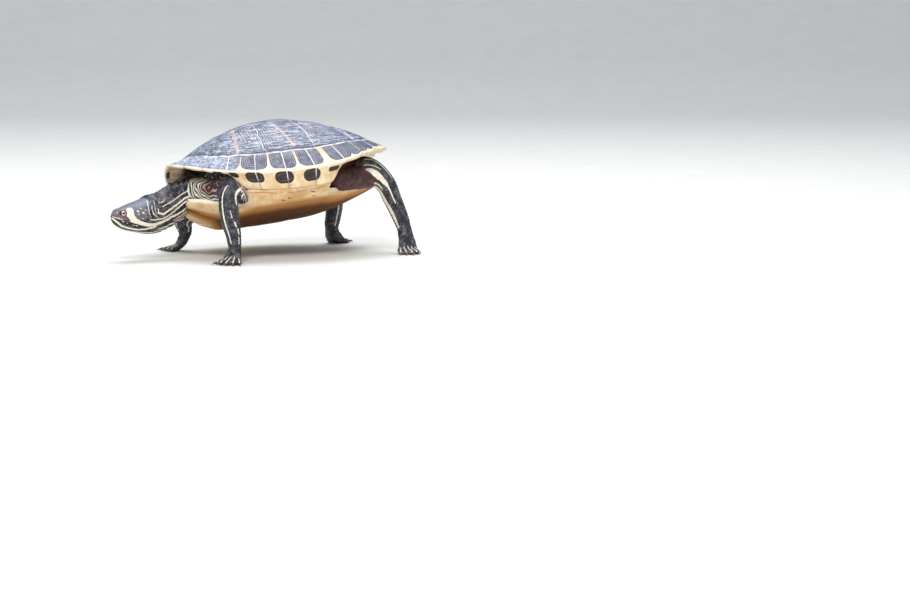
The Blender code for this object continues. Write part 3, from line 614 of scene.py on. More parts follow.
def carapace_paint():
    paint = Paint("carapace_horn_paint", roughness=0.42)
    ramp, times, coats, shade = paint.ramp, paint.times, paint.coats, paint.shade
    mottle = paint.noise(0.012, 4.0, 0.6)
    fine = paint.noise(0.0022, 4.0, 0.65)
    broken = paint.noise(0.005, 3.0, 0.7)
    streak = paint.noise(0.0035, 3.0, 0.65, (0.22, 0.8, 1.7))
    seam, cross = paint.rough("seam", 0.0010, fine), paint.rough("cross", 0.0008, fine)
    grown, inside = paint.rough("grown", 0.12, mottle), paint.rough("inside", 0.0016, mottle)
    upper, lower = paint.rough("upper", 0.0022, mottle), paint.rough("lower", 0.0012, fine)
    bar = paint.rough("bar", 0.006, broken)
    ahead, height = paint.field("ahead"), paint.field("from_rim")
    rings, close = paint.wave(grown, 62.0), paint.wave(grown, 190.0)
    # the blue-grey horn, with growth lines that come and go and pale bars
    horn = coats(
        shade(mottle, 0.30, 0.72, (40, 47, 70), (92, 101, 128)),
        (ramp(streak, 0.52, 0.60, 0.0, 0.75), (176, 184, 206)),
        (ramp(streak, 0.45, 0.38, 0.0, 0.6), (46, 52, 76)),
        (times(ramp(rings, 0.5, 1.0), ramp(broken, 0.40, 0.58), 0.7), (198, 206, 224)),
        (times(ramp(rings, -0.6, -1.0), ramp(broken, 0.56, 0.40), 0.65), (42, 47, 70)),
        (times(ramp(close, 0.4, 1.0), ramp(mottle, 0.5, 0.62), 0.25), (196, 201, 216)),
        (times(ramp(close, -0.5, -1.0), ramp(mottle, 0.52, 0.4), 0.25), (84, 90, 112)),
        (ramp(fine, 0.57, 0.65, 0.0, 0.5), (214, 221, 236)),
        (ramp(fine, 0.42, 0.35, 0.0, 0.5), (34, 39, 58)),
        (times(ramp(bar, 0.0008, -0.0010), ramp(fine, 0.60, 0.42, 0.12, 0.66)), (222, 182, 156)),
    )
    # the marginals: blotches ringed like wood, parted by tan gaps that widen to a cream edge
    echo = paint.wave(upper, 2600.0)
    marginal = coats(
        shade(mottle, 0.3, 0.7, (52, 56, 74), (96, 101, 122)),
        (times(ramp(echo, 0.35, 1.0), ramp(broken, 0.42, 0.6), 0.7), (180, 184, 200)),
        (times(ramp(echo, -0.4, -1.0), 0.5), (64, 66, 86)),
        (times(ramp(upper, -0.0016, -0.0004), 0.55), (58, 58, 76)),
    )
    cream = shade(mottle, 0.35, 0.7, (250, 238, 212), (240, 216, 176))
    gap = paint.mix(ramp(height, 0.012, 0.020), cream, (226, 180, 142))
    on_rim, sides = ramp(inside, 0.0002, -0.0004), ramp(ahead, 47.0, 53.0)
    # below the rim: a cream underside with dark spots
    under = coats(
        shade(mottle, 0.35, 0.7, (248, 226, 186), (226, 186, 138)),
        (ramp(broken, 0.55, 0.68, 0.0, 0.5), (206, 160, 112)),
    )
    echo = paint.wave(paint.rough("lower", 0.0030, broken), 1700.0)
    spot = coats(
        shade(fine, 0.4, 0.7, (24, 16, 18), (62, 46, 42)),
        (times(ramp(echo, 0.5, 1.0, 0.0, 0.5), ramp(broken, 0.42, 0.56)), (134, 106, 92)),
    )
    # the seams: white between the marginals, finer and broken on the dome
    white = (240, 240, 240)
    on_marginals = ramp(inside, 0.0004, -0.0006)
    clear = times(ramp(ahead, 24.0, 48.0, 0.15, 0.92), ramp(height, -0.0120, -0.0065, 0.12, 1.0))
    dome_seam = times(ramp(inside, 0.0008, 0.0016), ramp(broken, 0.34, 0.5, 0.35, 1.0))
    shadow = paint.math("ABSOLUTE", paint.math("SUBTRACT", inside, 0.0020))
    line = ramp(paint.math("ABSOLUTE", inside), 0.0006, 0.0002)
    horn = coats(
        horn,
        (times(on_rim, ramp(ahead, 62.0, 44.0, 0.0, 0.5), ramp(fine, 0.35, 0.6)), (206, 214, 234)),
        (times(on_rim, sides), marginal),
        (times(on_rim, sides, ramp(upper, -0.0002, 0.0005)), gap),
        (times(ramp(height, 0.0018, 0.0006), ramp(ahead, 53.0, 47.0)), (252, 246, 232)),
        (ramp(height, -0.0002, -0.0020), under),
        (ramp(lower, 0.0003, -0.0003), spot),
        (times(ramp(cross, 0.0016, 0.0010), on_marginals, 0.35), (60, 60, 76)),
        (times(ramp(cross, 0.00070, 0.00030), on_marginals, clear), white),
        (times(ramp(seam, 0.0015, 0.0008), dome_seam, 0.5), (56, 60, 80)),
        (times(ramp(seam, 0.00065, 0.00025), dome_seam, 0.9), white),
        (times(ramp(shadow, 0.0009, 0.0004), ramp(broken, 0.40, 0.52), 0.8), (44, 46, 64)),
        (times(line, ramp(broken, 0.36, 0.5, 0.2, 0.9), ramp(ahead, 20.0, 36.0)), white),
    )
    relief = ((rings, 0.00006), (streak, 0.0002), (fine, 0.00012))
    return paint.finished(horn, ramp(fine, 0.3, 0.8, 0.34, 0.55), relief)


# --- the plastron ---

KEEL = (  # along the shell: half-width of the plastron's flat underside
    (-0.110, 0.015), (-0.103, 0.027), (-0.088, 0.040), (-0.066, 0.049), (-0.040, 0.057), (-0.010, 0.060),
    (0.018, 0.057), (0.040, 0.049), (0.065, 0.046), (0.085, 0.039), (0.096, 0.028), (0.100, 0.020),
)  # fmt: skip
KEEL_SHARE = 0.62  # of the way to the edge
KEEL_RISE = 0.0035
LOBE_EDGE = 0.0025  # how far a lobe's edge lies outside its keel


def belly_height(x):
    """Height of the plastron's underside on the midline: its two ends curl up."""
    return FRONT_CURL * smooth(-x, 0.050, 0.170) * 2 + REAR_CURL * smooth(x, 0.035, 0.165) * 2


def bridge_share(x):
    """1 along the bridge and 0 along the two lobes."""
    start, end = (-BRIDGE_REACH * HALF_LENGTH * math.cos(math.radians(a)) for a in (BRIDGE_START, BRIDGE_END))
    return smooth(x, start - 0.006, start + 0.004) * (1 - smooth(x, end - 0.004, end + 0.006))


def lobe_rise(x):
    """How far the edge of a lobe stands over the keel: the hind lobe's is tallest at the bridge."""
    return 0.003 + 0.006 * smooth(x, 0.0, 0.01) * (1 - smooth(x, 0.035, 0.092))


def bridge_top(x):
    """(half-width, height) where the bridge meets the underside of the marginals."""
    angle = np.degrees(np.arccos(-np.clip(x / (BRIDGE_REACH * HALF_LENGTH), -0.99, 0.99)))
    top = on_plan(*polar(angle, BRIDGE_REACH), under_height(angle, BRIDGE_REACH))
    return top[..., 1], top[..., 2] - CUT


def plastron_points(x, share, inner):
    """Points of the plastron at stations x and shares of the way from the midline to its edge."""
    keel = through(KEEL, x)[:, 0]
    bridge = bridge_share(x)
    lobe = 1 - bridge
    edge_y, edge_z = bridge_top(x)
    base = belly_height(x)
    out = np.maximum(share - KEEL_SHARE, 0) / (1 - KEEL_SHARE)
    flat = np.minimum(share / KEEL_SHARE, 1)
    y = keel * flat + out * (LOBE_EDGE + (edge_y - keel - LOBE_EDGE) * bridge)
    z = base + KEEL_RISE * flat**4 + lobe_rise(x) * out * lobe
    z = z + bridge * out**1.25 * (edge_z - base - KEEL_RISE)
    if inner:
        lobe_in = (keel - 0.004) * flat + LOBE_EDGE * out
        y = lobe_in + (y - PLASTRON_WALL * smooth(share, 0.3, 0.8) - lobe_in) * bridge
        z = z + PLASTRON_WALL * (1 - bridge * out) - 0.004 * lobe * out
    return np.stack([x, y, z], -1)


PLASTRAL_SEAMS = (  # where the cross seams meet the midline, and how they slant towards the edge
    (-0.088, 0.35), (-0.062, 0.15), (-0.028, 0.10), (0.022, -0.05), (0.060, -0.20),
)  # fmt: skip
EDGE_ROWS = 4  # of points that round the plastron's edge


def plastron():
    """The lower shell with its two bridges."""
    stations = np.linspace(-0.110, 0.100, 240)
    across = np.linspace(-1, 1, 181)
    inner = np.linspace(1, -1, 61)
    rings = []
    for x in stations:
        sides = []
        for line, inside in ((across, False), (inner, True)):
            sides.append(plastron_points(np.full(len(line), x), np.abs(line), inside))
            sides[-1][:, 1] *= np.where(line < 0, -1, 1)
        outer_side, inner_side = sides
        rounds = []
        for start, end in ((outer_side[-1], inner_side[0]), (inner_side[-1], outer_side[0])):
            share = np.linspace(0, 1, EDGE_ROWS + 2)[1:-1, None]
            push = np.array((0, math.copysign(0.0012, start[1]), 0)) * (1 - bridge_share(x))
            rounds.append(start + (end - start) * share + push * np.sin(np.pi * share))
        rings.append(np.concatenate([outer_side, rounds[0], inner_side, rounds[1]]))
    grid = np.array(rings)
    columns = grid.shape[1]
    points = grid.reshape(-1, 3)
    faces = grid_faces(len(stations), columns)
    for row in (0, len(stations) - 1):
        faces.append(tuple(row * columns + np.arange(columns)))
    outer = np.tile(np.arange(columns) < len(across), len(stations))
    x, y = points[:, 0], np.abs(points[:, 1])
    seam = y.copy()
    for start, sweep in PLASTRAL_SEAMS:
        seam = np.minimum(seam, np.abs(x - (start + sweep * y + 0.0006 * np.sin(y * 210 + start * 900))))
    share = np.tile(np.concatenate([np.abs(across), np.ones(2 * EDGE_ROWS + len(inner))]), len(stations))
    lobe = 1 - bridge_share(x)
    sag = 0.955 - 0.045 * bell(x + 0.022, 0.018) + 0.006 * np.sin(x * 330)
    relief = np.where(outer, -0.0003 * bell(seam, 0.0006) + 0.0003 * smooth(seam, 0, 0.008), 0)
    relief += 0.0002 * wobble(points, 0.015, 4.0)
    normal = grid_normals(grid)
    normal *= -np.sign(normal[len(across) // 2, 2])
    points = points + normal * relief[:, None]
    x = points[:, 0]
    made = closed_object("plastron_horn", tilted(points), faces, plastron_paint())
    spots = [((x0, y0), (x1, y1), half, half * 0.4) for x0, y0, x1, y1, half in SPOTS]
    mark(
        made,
        seam=seam,
        suture=np.abs(share - sag) * 0.055 + lobe * 0.05,
        spot=from_lines(points[:, :2], spots, 1.0),
        share=share,
        layer=share * 0.055 + 0.002 * np.sin(x * 55 + 1.2),
        lobe=lobe,
        fore=smooth(x, -0.055, -0.085),
    )
    return made


SPOTS = (  # dark smudges of the plastron: start and end, along the shell and to its right, half-width
    (-0.1086, -0.002, -0.0985, -0.005, 0.0020), (-0.1025, 0.027, -0.0945, 0.034, 0.0012),
    (-0.0325, -0.0652, -0.0285, -0.0648, 0.0007), (-0.0258, -0.0680, -0.0222, -0.0676, 0.0008),
    (-0.0030, -0.0757, 0.0030, -0.0738, 0.0009), (0.0005, -0.0676, 0.0058, -0.0662, 0.0008),
    (-0.0300, 0.0660, -0.0240, 0.0655, 0.0008), (0.0020, 0.0690, 0.0070, 0.0680, 0.0007),
)  # fmt: skip


def plastron_paint():
    paint = Paint("plastron_horn_paint", roughness=0.4, specular=0.12)
    ramp, times, rough, shade = paint.ramp, paint.times, paint.rough, paint.shade
    mottle = paint.noise(0.020, 4.0, 0.6)
    fine = paint.noise(0.003, 4.0, 0.65)
    broken = paint.noise(0.010, 3.0, 0.7)
    streak = paint.noise(0.006, 3.0, 0.6, (0.25, 1.4, 1.4))
    edge, fore = paint.field("share"), paint.field("fore")
    # the plastron's own tan below the keel, with painted shade over it: darker towards the midline, less so
    # on the front lobe
    share = paint.math("ADD", rough("share", 0.10, mottle), times(fore, 0.42))
    tan_and_painted_shade = paint.coats(
        shade(share, 0.30, 0.68, (104, 62, 28), (208, 148, 86)),
        (ramp(streak, 0.52, 0.75, 0.0, 0.35), (130, 82, 44)),
    )
    layer = paint.wave(rough("layer", 0.003, mottle), 3300.0)
    flank = paint.coats(
        shade(mottle, 0.3, 0.72, (250, 222, 176), (226, 178, 126)),
        (ramp(streak, 0.56, 0.75, 0.0, 0.35), (214, 160, 108)),
        (times(ramp(layer, 0.5, 1.0), ramp(broken, 0.48, 0.62, 0.0, 0.55)), (190, 130, 84)),
    )
    # painted highlight: the lobes' upper edges and the front lobe's side painted near-white, as if lit from
    # above
    lit_lobe_edge = times(ramp(edge, 0.78, 0.90), paint.field("lobe"), paint.math("MAXIMUM", fore, 0.4))
    front = times(ramp(edge, 0.64, 0.76), fore)
    suture = times(ramp(rough("suture", 0.0012, fine), 0.0007, 0.0002), ramp(broken, 0.36, 0.5), 0.7)
    # the cream flank above the keel, and the tan with painted shade below it
    horn = paint.coats(
        shade(share, 0.60, 0.76, tan_and_painted_shade, flank),
        (ramp(fine, 0.62, 0.75, 0.0, 0.3), (252, 236, 204)),
        # painted highlight on the lobes' edges and the front
        (paint.math("MAXIMUM", lit_lobe_edge, front), (255, 250, 230)),
        (ramp(rough("seam", 0.001, fine), 0.0006, 0.0002, 0.0, 0.35), (150, 98, 60)),
        (suture, (150, 96, 60)),
        (ramp(rough("spot", 0.0016, fine), 0.0003, -0.0003), (44, 26, 18)),
    )
    return paint.finished(horn, ramp(share, 0.45, 0.75, 0.75, 0.40), ((streak, 0.00015), (fine, 0.0001)))


# --- the flesh ---

SNOUT = np.array((-0.1838, 0.0, 0.0470))
HEAD_AXIS = unit(np.array((0.99, 0.139, -0.052)))  # from the snout backwards
HEAD_LEFT = unit(np.cross(HEAD_AXIS, (0, 0, 1)))
HEAD_TOP = np.cross(HEAD_LEFT, HEAD_AXIS)
HEAD = (  # distance from the snout: half-width, top above the axis, bottom below it
    (0.0000, 0.0016, 0.0012, 0.0030),
    (0.0012, 0.0036, 0.0026, 0.0054),
    (0.0040, 0.0062, 0.0044, 0.0084),
    (0.0088, 0.0092, 0.0076, 0.0112),
    (0.0135, 0.0116, 0.0098, 0.0134),
    (0.0182, 0.0137, 0.0116, 0.0147),
    (0.0230, 0.0153, 0.0133, 0.0156),
    (0.0280, 0.0163, 0.0150, 0.0164),
    (0.0330, 0.0169, 0.0168, 0.0172),
    (0.0370, 0.0170, 0.0183, 0.0180),
    (0.0400, 0.0166, 0.0192, 0.0184),
)
HEAD_LENGTH, HEAD_MIDDLE = HEAD[-1][0], 0.018
NECK = (  # share of the way from the head back into the body: centre, half-width, reach up and down
    (0.00, -0.1443, 0.0056, 0.0449, 0.0172, 0.0205, 0.0195),
    (0.20, -0.1300, 0.0085, 0.0478, 0.0170, 0.0202, 0.0198),
    (0.40, -0.1170, 0.0120, 0.0522, 0.0168, 0.0198, 0.0192),
    (0.60, -0.1030, 0.0150, 0.0600, 0.0165, 0.0185, 0.0185),
    (0.80, -0.0860, 0.0160, 0.0670, 0.0180, 0.0180, 0.0185),
    (1.00, -0.0640, 0.0120, 0.0700, 0.0190, 0.0180, 0.0185),
)
EYE_RADIUS = 0.0046
EYE_BACK, EYE_OUT, EYE_UP = 0.0098, 0.0058, 0.0024
LID_OPENING = (0.0031, 0.0024)  # half-length and half-height between the lids
SNOUT_TIP = 2.5  # millimetres of it where nothing is lifted
LEGS = {  # share of the way out of the body: centre, half-width, reach up and down
    "foreleg_left": (
        (0.00, -0.0400, -0.0260, 0.0710, 0.0120, 0.0110, 0.0110),
        (0.22, -0.0685, -0.0465, 0.0722, 0.0105, 0.0088, 0.0105),
        (0.42, -0.0808, -0.0600, 0.0660, 0.0095, 0.0093, 0.0105),
        (0.62, -0.0828, -0.0655, 0.0470, 0.0089, 0.0102, 0.0098),
        (0.82, -0.0795, -0.0665, 0.0290, 0.0074, 0.0083, 0.0078),
        (1.00, -0.0780, -0.0670, 0.0170, 0.0068, 0.0064, 0.0064),
    ),
    "foreleg_right": (
        (0.00, -0.0400, 0.0340, 0.0560, 0.0120, 0.0110, 0.0110),
        (0.22, -0.0610, 0.0490, 0.0490, 0.0115, 0.0110, 0.0110),
        (0.42, -0.0740, 0.0610, 0.0390, 0.0105, 0.0105, 0.0105),
        (0.62, -0.0755, 0.0700, 0.0315, 0.0092, 0.0095, 0.0095),
        (0.82, -0.0725, 0.0730, 0.0245, 0.0078, 0.0082, 0.0082),
        (1.00, -0.0715, 0.0735, 0.0170, 0.0070, 0.0066, 0.0066),
    ),
    "hind_leg_left": (
        (0.00, 0.0550, -0.0250, 0.0830, 0.0120, 0.0130, 0.0130),
        (0.22, 0.0840, -0.0380, 0.0880, 0.0110, 0.0125, 0.0125),
        (0.42, 0.1010, -0.0460, 0.0740, 0.0095, 0.0110, 0.0110),
        (0.62, 0.1085, -0.0510, 0.0560, 0.0084, 0.0098, 0.0098),
        (0.82, 0.1150, -0.0535, 0.0400, 0.0076, 0.0088, 0.0088),
        (1.00, 0.1190, -0.0550, 0.0290, 0.0074, 0.0080, 0.0080),
    ),
    "hind_leg_right": (
        (0.00, 0.0480, 0.0240, 0.0640, 0.0120, 0.0130, 0.0130),
        (0.22, 0.0720, 0.0420, 0.0650, 0.0110, 0.0125, 0.0125),
        (0.42, 0.0890, 0.0560, 0.0570, 0.0095, 0.0110, 0.0110),
        (0.62, 0.0960, 0.0610, 0.0430, 0.0084, 0.0098, 0.0098),
        (0.82, 0.0945, 0.0605, 0.0300, 0.0076, 0.0088, 0.0088),
        (1.00, 0.0915, 0.0590, 0.0200, 0.0074, 0.0080, 0.0080),
    ),
}
FEET = {  # leg, heading and fan of the toes in degrees, their reach, clawed toes, half-width at the knuckles
    "forefoot_left": ("foreleg_left", 43, 66, 0.0235, 5, 0.0100),
    "forefoot_right": ("foreleg_right", -14, 66, 0.0235, 5, 0.0100),
    "hind_foot_left": ("hind_leg_left", 84, 52, 0.0260, 4, 0.0108),
    "hind_foot_right": ("hind_leg_right", -142, 52, 0.0260, 4, 0.0108),
}
KNUCKLE_HEIGHT = 0.0046
TOE_RADIUS = 0.0029
TOE_TIP_RADIUS = 0.0021
TOE_TIP_HEIGHT = 0.0018
CLAW_LENGTH = 0.0068
CLAW_RADIUS = 0.0014
TAIL = (  # as the legs
    (0.00, 0.0700, 0.0140, 0.0820, 0.0100, 0.0090, 0.0090),
    (0.40, 0.1040, 0.0180, 0.0810, 0.0080, 0.0075, 0.0075),
    (0.70, 0.1150, 0.0310, 0.0720, 0.0052, 0.0052, 0.0052),
    (1.00, 0.1130, 0.0460, 0.0620, 0.0016, 0.0016, 0.0016),
)
FOLDS = (  # loose skin at the shoulders and the groins: start and end of each roll, and its radii there
    ((-0.090, 0.005, 0.068), (-0.079, -0.040, 0.0715), 0.0145, 0.0118),
    ((-0.071, -0.046, 0.078), (-0.0680, -0.0640, 0.066), 0.0095, 0.0068),
    ((-0.088, 0.025, 0.060), (-0.066, 0.045, 0.052), 0.0140, 0.0130),
    ((0.050, -0.045, 0.078), (0.090, -0.042, 0.080), 0.0130, 0.0120),
    ((0.045, 0.040, 0.062), (0.078, 0.046, 0.060), 0.0130, 0.0120),
)
WEB_HALF = 0.0009  # half the thickness of the webs between the toes
VOXEL = 0.0008  # pitch of the skin's mesh before it is refined
TRUNK_MARGIN = 0.004  # the skin farther than this outside every limb is the trunk's
FEET_TOP = 0.020  # the skin below it is the feet's
LOW_SKIN = 0.030  # all skin below it shows
PLAIN = -9.0  # millimetres inside a stripe where there is none


def head_point(back, out=0.0, up=0.0):
    """A point of the head from its distance behind the snout, to the left and up."""
    return SNOUT + HEAD_AXIS * back + HEAD_LEFT * out + HEAD_TOP * up


def closed_rings(rings):
    """(points, faces) of a closed form skinned over rings of as many points each."""
    rings = np.array(rings)
    rows, columns = rings.shape[:2]
    ends = [tuple(reversed(range(columns))), tuple(range((rows - 1) * columns, rows * columns))]
    return rings.reshape(-1, 3), grid_faces(rows, columns) + ends


def ring_round(centre, left, top, half, up, down, sides=40):
    turn = 2 * np.pi * (np.arange(sides) + 0.5) / sides
    rise = np.sin(turn)[:, None]
    return centre + left * half * np.cos(turn)[:, None] + top * np.where(rise > 0, up, down) * rise


class Path:
    """The centre line of a limb, with the limb's reach to each side, for telling where on it a point is."""

    def __init__(self, rows, neck=False):
        """rows: centre, half-width, reach up and down. Left is the animal's own for the neck, and +Y else."""
        self.centres = rows[:, :3]
        self.half, self.up, self.down = rows[:, 3:].T
        self.along = unit(np.gradient(self.centres, axis=0))
        if neck:
            self.left = unit(np.cross(self.along, (0, 0, 1)))
            self.top = np.cross(self.left, self.along)
        else:
            self.left = unit(np.array((0, 1, 0)) - self.along * self.along[:, 1:2])
            self.top = np.cross(self.along, self.left)
        step = np.linalg.norm(np.diff(self.centres, axis=0), axis=1)
        self.distance = np.concatenate([[0], np.cumsum(step)])
        self.length = self.distance[-1]

    def rings(self, steps, sides=40):
        rows = zip(self.centres, self.left, self.top, self.half, self.up, self.down)
        return [ring_round(*row, sides) for row in list(rows)[steps]]

    def locate(self, points):
        """(distance along, degrees round from its left towards its top, distance out, its radius there)."""
        index, _ = nearest(points, self.centres)
        off = points - self.centres[index]
        ahead, left, top = (np.sum(off * axis[index], 1) for axis in (self.along, self.left, self.top))
        radius = np.where(top > 0, self.up[index], self.down[index]) * 0.5 + self.half[index] * 0.5
        turn = np.degrees(np.arctan2(top, left))
        return self.distance[index] + ahead, turn, np.linalg.norm(off, axis=1), radius


def head_ring(back, sides=48):
    """The head's outline across its axis: flat cheeks, a round crown and a narrower jaw."""
    half, up, down = through(HEAD, back)[0]
    turn = 2 * np.pi * (np.arange(sides) + 0.5) / sides
    across, rise = np.cos(turn), np.sin(turn)
    crown = np.sign(across) * np.abs(across) ** 0.8
    jaw = np.sign(across) * np.abs(across) ** 0.7 * (1 - 0.25 * rise**2)
    out = np.where(rise > 0, crown, jaw) * half
    lift = np.where(rise > 0, up, down) * rise
    return head_point(back, out[:, None], lift[:, None])


def head_neck_path():
    """One centre line from the snout into the body."""
    back = np.linspace(0, HEAD_LENGTH, 60)
    head = np.hstack([head_point(back[:, None]), through(HEAD, back)])
    return Path(np.concatenate([head, through(NECK, np.linspace(0, 1, 100))[1:]]), neck=True)


def flesh_forms(paths):
    """Closed forms that overlap one another, for the skin to be drawn round."""
    head = [head_ring(back) for back in np.linspace(0, HEAD_LENGTH, 50)]
    limbs = [paths[name].rings(slice(0, None, 2)) for name in (*LEGS, "tail")]
    neck = head + paths["neck"].rings(slice(64, None, 3), 48)
    return [closed_rings(rings) for rings in (neck, *limbs)] + [roll(*fold) for fold in FOLDS]


def roll(start, end, radius_start, radius_end):
    """A round-ended roll of skin."""
    start, end = np.array(start), np.array(end)
    along = unit(end - start)
    side = unit(np.cross(along, (0.3, 0.2, 1)))
    top = np.cross(along, side)
    rings = []
    for tilt in np.linspace(-1.5, 1.5, 24):
        radius = radius_start if tilt < 0 else radius_end
        centre = (start if tilt < 0 else end) + along * radius * math.sin(tilt)
        size = radius * math.cos(tilt)
        rings.append(ring_round(centre, side, top, size, size, size, 32))
    return closed_rings(rings)


def foot_places(name):
    """(ankle, step down the leg, ahead, side, knuckle, [(root, tip) of each toe])."""
    leg, heading, fan, reach, _, half = FEET[name]
    stations = LEGS[leg]
    ankle = np.array(stations[-1][1:4])
    step = unit(ankle - through(stations, 0.995)[0, :3])
    turn = math.radians(heading)
    ahead = np.array((-math.cos(turn), -math.sin(turn), 0))
    side = np.array((-ahead[1], ahead[0], 0))
    knuckle = ankle + ahead * reach * 0.5
    knuckle[2] = KNUCKLE_HEIGHT * 0.7
    toes = []
    for place in (-1, -0.5, 0, 0.5, 1):
        spread = math.radians(heading + fan / 2 * place)
        out = np.array((-math.cos(spread), -math.sin(spread), 0))
        root = ankle + (knuckle - ankle) * 0.62 + side * half * 0.62 * place
        root[2] = KNUCKLE_HEIGHT
        tip = np.array((ankle[0], ankle[1], TOE_TIP_HEIGHT))
        tip = tip + out * reach * (1 - 0.14 * abs(place)) + side * half * 0.1 * place
        toes.append((root, tip))
    return ankle, step, ahead, side, knuckle, toes


def across_ring(centre, along, side, half, thick, sides):
    """A ring of points across the way along, wide to its side."""
    along = unit(along)
    side = unit(side - along * (side @ along))
    return ring_round(centre, side, np.cross(along, side), half, thick, thick, sides)


def foot_forms(name):
    """Closed forms of a foot: the sole with the wrist, the five toes, and the webs between them."""
    ankle, step, ahead, side, knuckle, toes = foot_places(name)
    half = FEET[name][5]
    wrist_half, wrist_thick = LEGS[FEET[name][0]][-1][4:6]
    rings = []
    for share in np.linspace(0, 1, 14):
        bend = unit(step + (ahead - step) * smooth(share, 0, 0.9))
        centre = ankle + (knuckle - ankle) * share + step * 0.0025 * math.sin(math.pi * share)
        wide = wrist_half + (half - wrist_half) * smooth(share, 0, 0.8)
        thick = wrist_thick + (KNUCKLE_HEIGHT - wrist_thick) * smooth(share, 0, 0.8)
        if share > 0.85:
            wide, thick = wide * (1 - 0.5 * (share - 0.85)), thick * (1 - 1.8 * (share - 0.85))
        rings.append(across_ring(centre, bend, side, wide, thick, 24))
    forms = [rings]
    for root, tip in toes:
        rings = []
        for share in np.linspace(0, 1, 16):
            radius = TOE_RADIUS * (1 - 0.10 * math.cos(4 * math.pi * share)) * (0.97 if share < 0.8 else 1)
            radius += (TOE_TIP_RADIUS - TOE_RADIUS) * smooth(share, 0.6, 1.0)
            rings.append(across_ring(root + (tip - root) * share, tip - root, side, radius, radius, 16))
        forms.append(rings)
    rise = np.array((0, 0, WEB_HALF))
    for (root, tip), (next_root, next_tip) in zip(toes, toes[1:]):
        rings = []
        for share in np.linspace(0, 1, 12):
            inner = root + (next_root - root) * share
            reach = 0.70 - 0.16 * math.sin(math.pi * share)
            outer = inner + (tip + (next_tip - tip) * share - inner) * reach
            rings.append([inner - rise, outer - rise, outer + rise, inner + rise])
        forms.append(rings)
    return [closed_rings(rings) for rings in forms]


def trunk_form():
    """The body inside the shell, seen at the openings: from the vault down to the plastron."""
    degrees = np.linspace(-180, 180, 120, endpoint=False)
    gap = SHELL_WALL + 0.0012
    reach = 0.745 + 0.045 * bridged(degrees)
    crown, high, low = (polar(degrees, r) for r in (0.42, reach - 0.03, reach - 0.05))
    x, y, _ = on_plan(*low, 0.0).T
    floor = belly_height(x) + PLASTRON_WALL + KEEL_RISE + CUT
    keel = np.maximum(through(KEEL, x)[:, 0] - 0.008, 0.01)
    inner = np.copysign(np.minimum(np.abs(y), keel), y)
    rings = [
        on_plan(*crown, dome_height(*crown) - gap),
        on_plan(*high, dome_height(*high) - gap - 0.0035),
        np.stack([x, y, floor + 0.018], -1),
        np.stack([x, inner, floor + 0.0006], -1),
    ]
    points, faces = closed_rings(rings)
    return tilted(points), faces


def joined(forms):
    points, faces, count = [], [], 0
    for form_points, form_faces in forms:
        points.append(form_points)
        faces += [tuple(int(i) + count for i in face) for face in form_faces]
        count += len(form_points)
    return np.concatenate(points), faces


def evaluated(made):
    """The object's mesh with its modifiers applied."""
    seen = made.evaluated_get(bpy.context.evaluated_depsgraph_get())
    mesh = bpy.data.meshes.new_from_object(seen)
    made.modifiers.clear()
    made.data = mesh
    return made


def shell_rooms():
    """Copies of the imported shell, a little larger all round, that the limbs are cut to clear."""
    rooms = []
    for name in ("carapace", "plastron"):
        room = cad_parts[name].copy()
        room.data = room.data.copy()
        with editing(room.data) as form:
            bmesh.ops.remove_doubles(form, verts=form.verts, dist=1e-6)
            form.normal_update()
            for vertex in form.verts:
                vertex.co += vertex.normal * CUT
        room.parent = None
        room.name = f"{name}_room"
        rooms.append(linked(room))
    return rooms


def drawn_round(forms, loose):
    """One closed skin round overlapping forms. The loose ones are cut to clear the shell first."""
    rooms = shell_rooms()
    kept = []
    for index, (points, faces) in enumerate(forms):
        piece = closed_object(f"form{index}", points, faces)
        if index < loose:
            for room in rooms:
                cutting = piece.modifiers.new(room.name, "BOOLEAN")
                cutting.operation = "DIFFERENCE"
                cutting.solver = "EXACT"
                cutting.object = room
            evaluated(piece)
        kept.append((vertices(piece), [tuple(p.vertices) for p in piece.data.polygons]))
        bpy.data.objects.remove(piece)
    for room in rooms:
        bpy.data.objects.remove(room)
    skin = new_object("skin", *joined(kept))
    remesh = skin.modifiers.new("round", "REMESH")
    remesh.mode = "VOXEL"
    remesh.voxel_size = VOXEL
    evaluated(skin)
    return skin


def relaxed(values, edges, rounds, weight=1.0):
    """The vertices' values drawn towards the mean of their neighbours', round after round."""
    count = len(values)
    one, other = edges.T
    degree = np.bincount(edges.ravel(), minlength=count)
    rows = values.reshape(count, -1).T
    for _ in range(rounds):
        total = [np.bincount(one, row[other], count) + np.bincount(other, row[one], count) for row in rows]
        rows = rows + 0.5 * weight * (np.array(total) / degree - rows)
    return rows.T.reshape(values.shape)


def edge_list(made):
    return numbers(made.data.edges, "vertices", 2, np.int32)


def normals(made):
    values = np.empty(len(made.data.vertices) * 3, np.float32)
    made.data.vertex_normals.foreach_get("vector", values)
    return values.reshape(-1, 3).astype(float)


def refine(made, wanted):
    """Halves the mesh's pitch where wanted is true of the vertices."""
    with editing(made.data) as form:
        form.verts.ensure_lookup_table()
        chosen = [e for e in form.edges if wanted[e.verts[0].index] and wanted[e.verts[1].index]]
        bmesh.ops.subdivide_edges(form, edges=chosen, cuts=1, use_grid_fill=True)


def settle(skin, rounds, weight=1.0):
    """Relaxes the skin, keeps it off the floor, and gives its points in the layout's frame."""
    points = relaxed(vertices(skin), edge_list(skin), rounds, weight)
    points[:, 2] = np.maximum(points[:, 2], 0)
    move_vertices(skin, points)
    return points - ORIGIN


def near_head(points, reach):
    return np.linalg.norm(points - head_point(HEAD_MIDDLE), axis=1) < reach


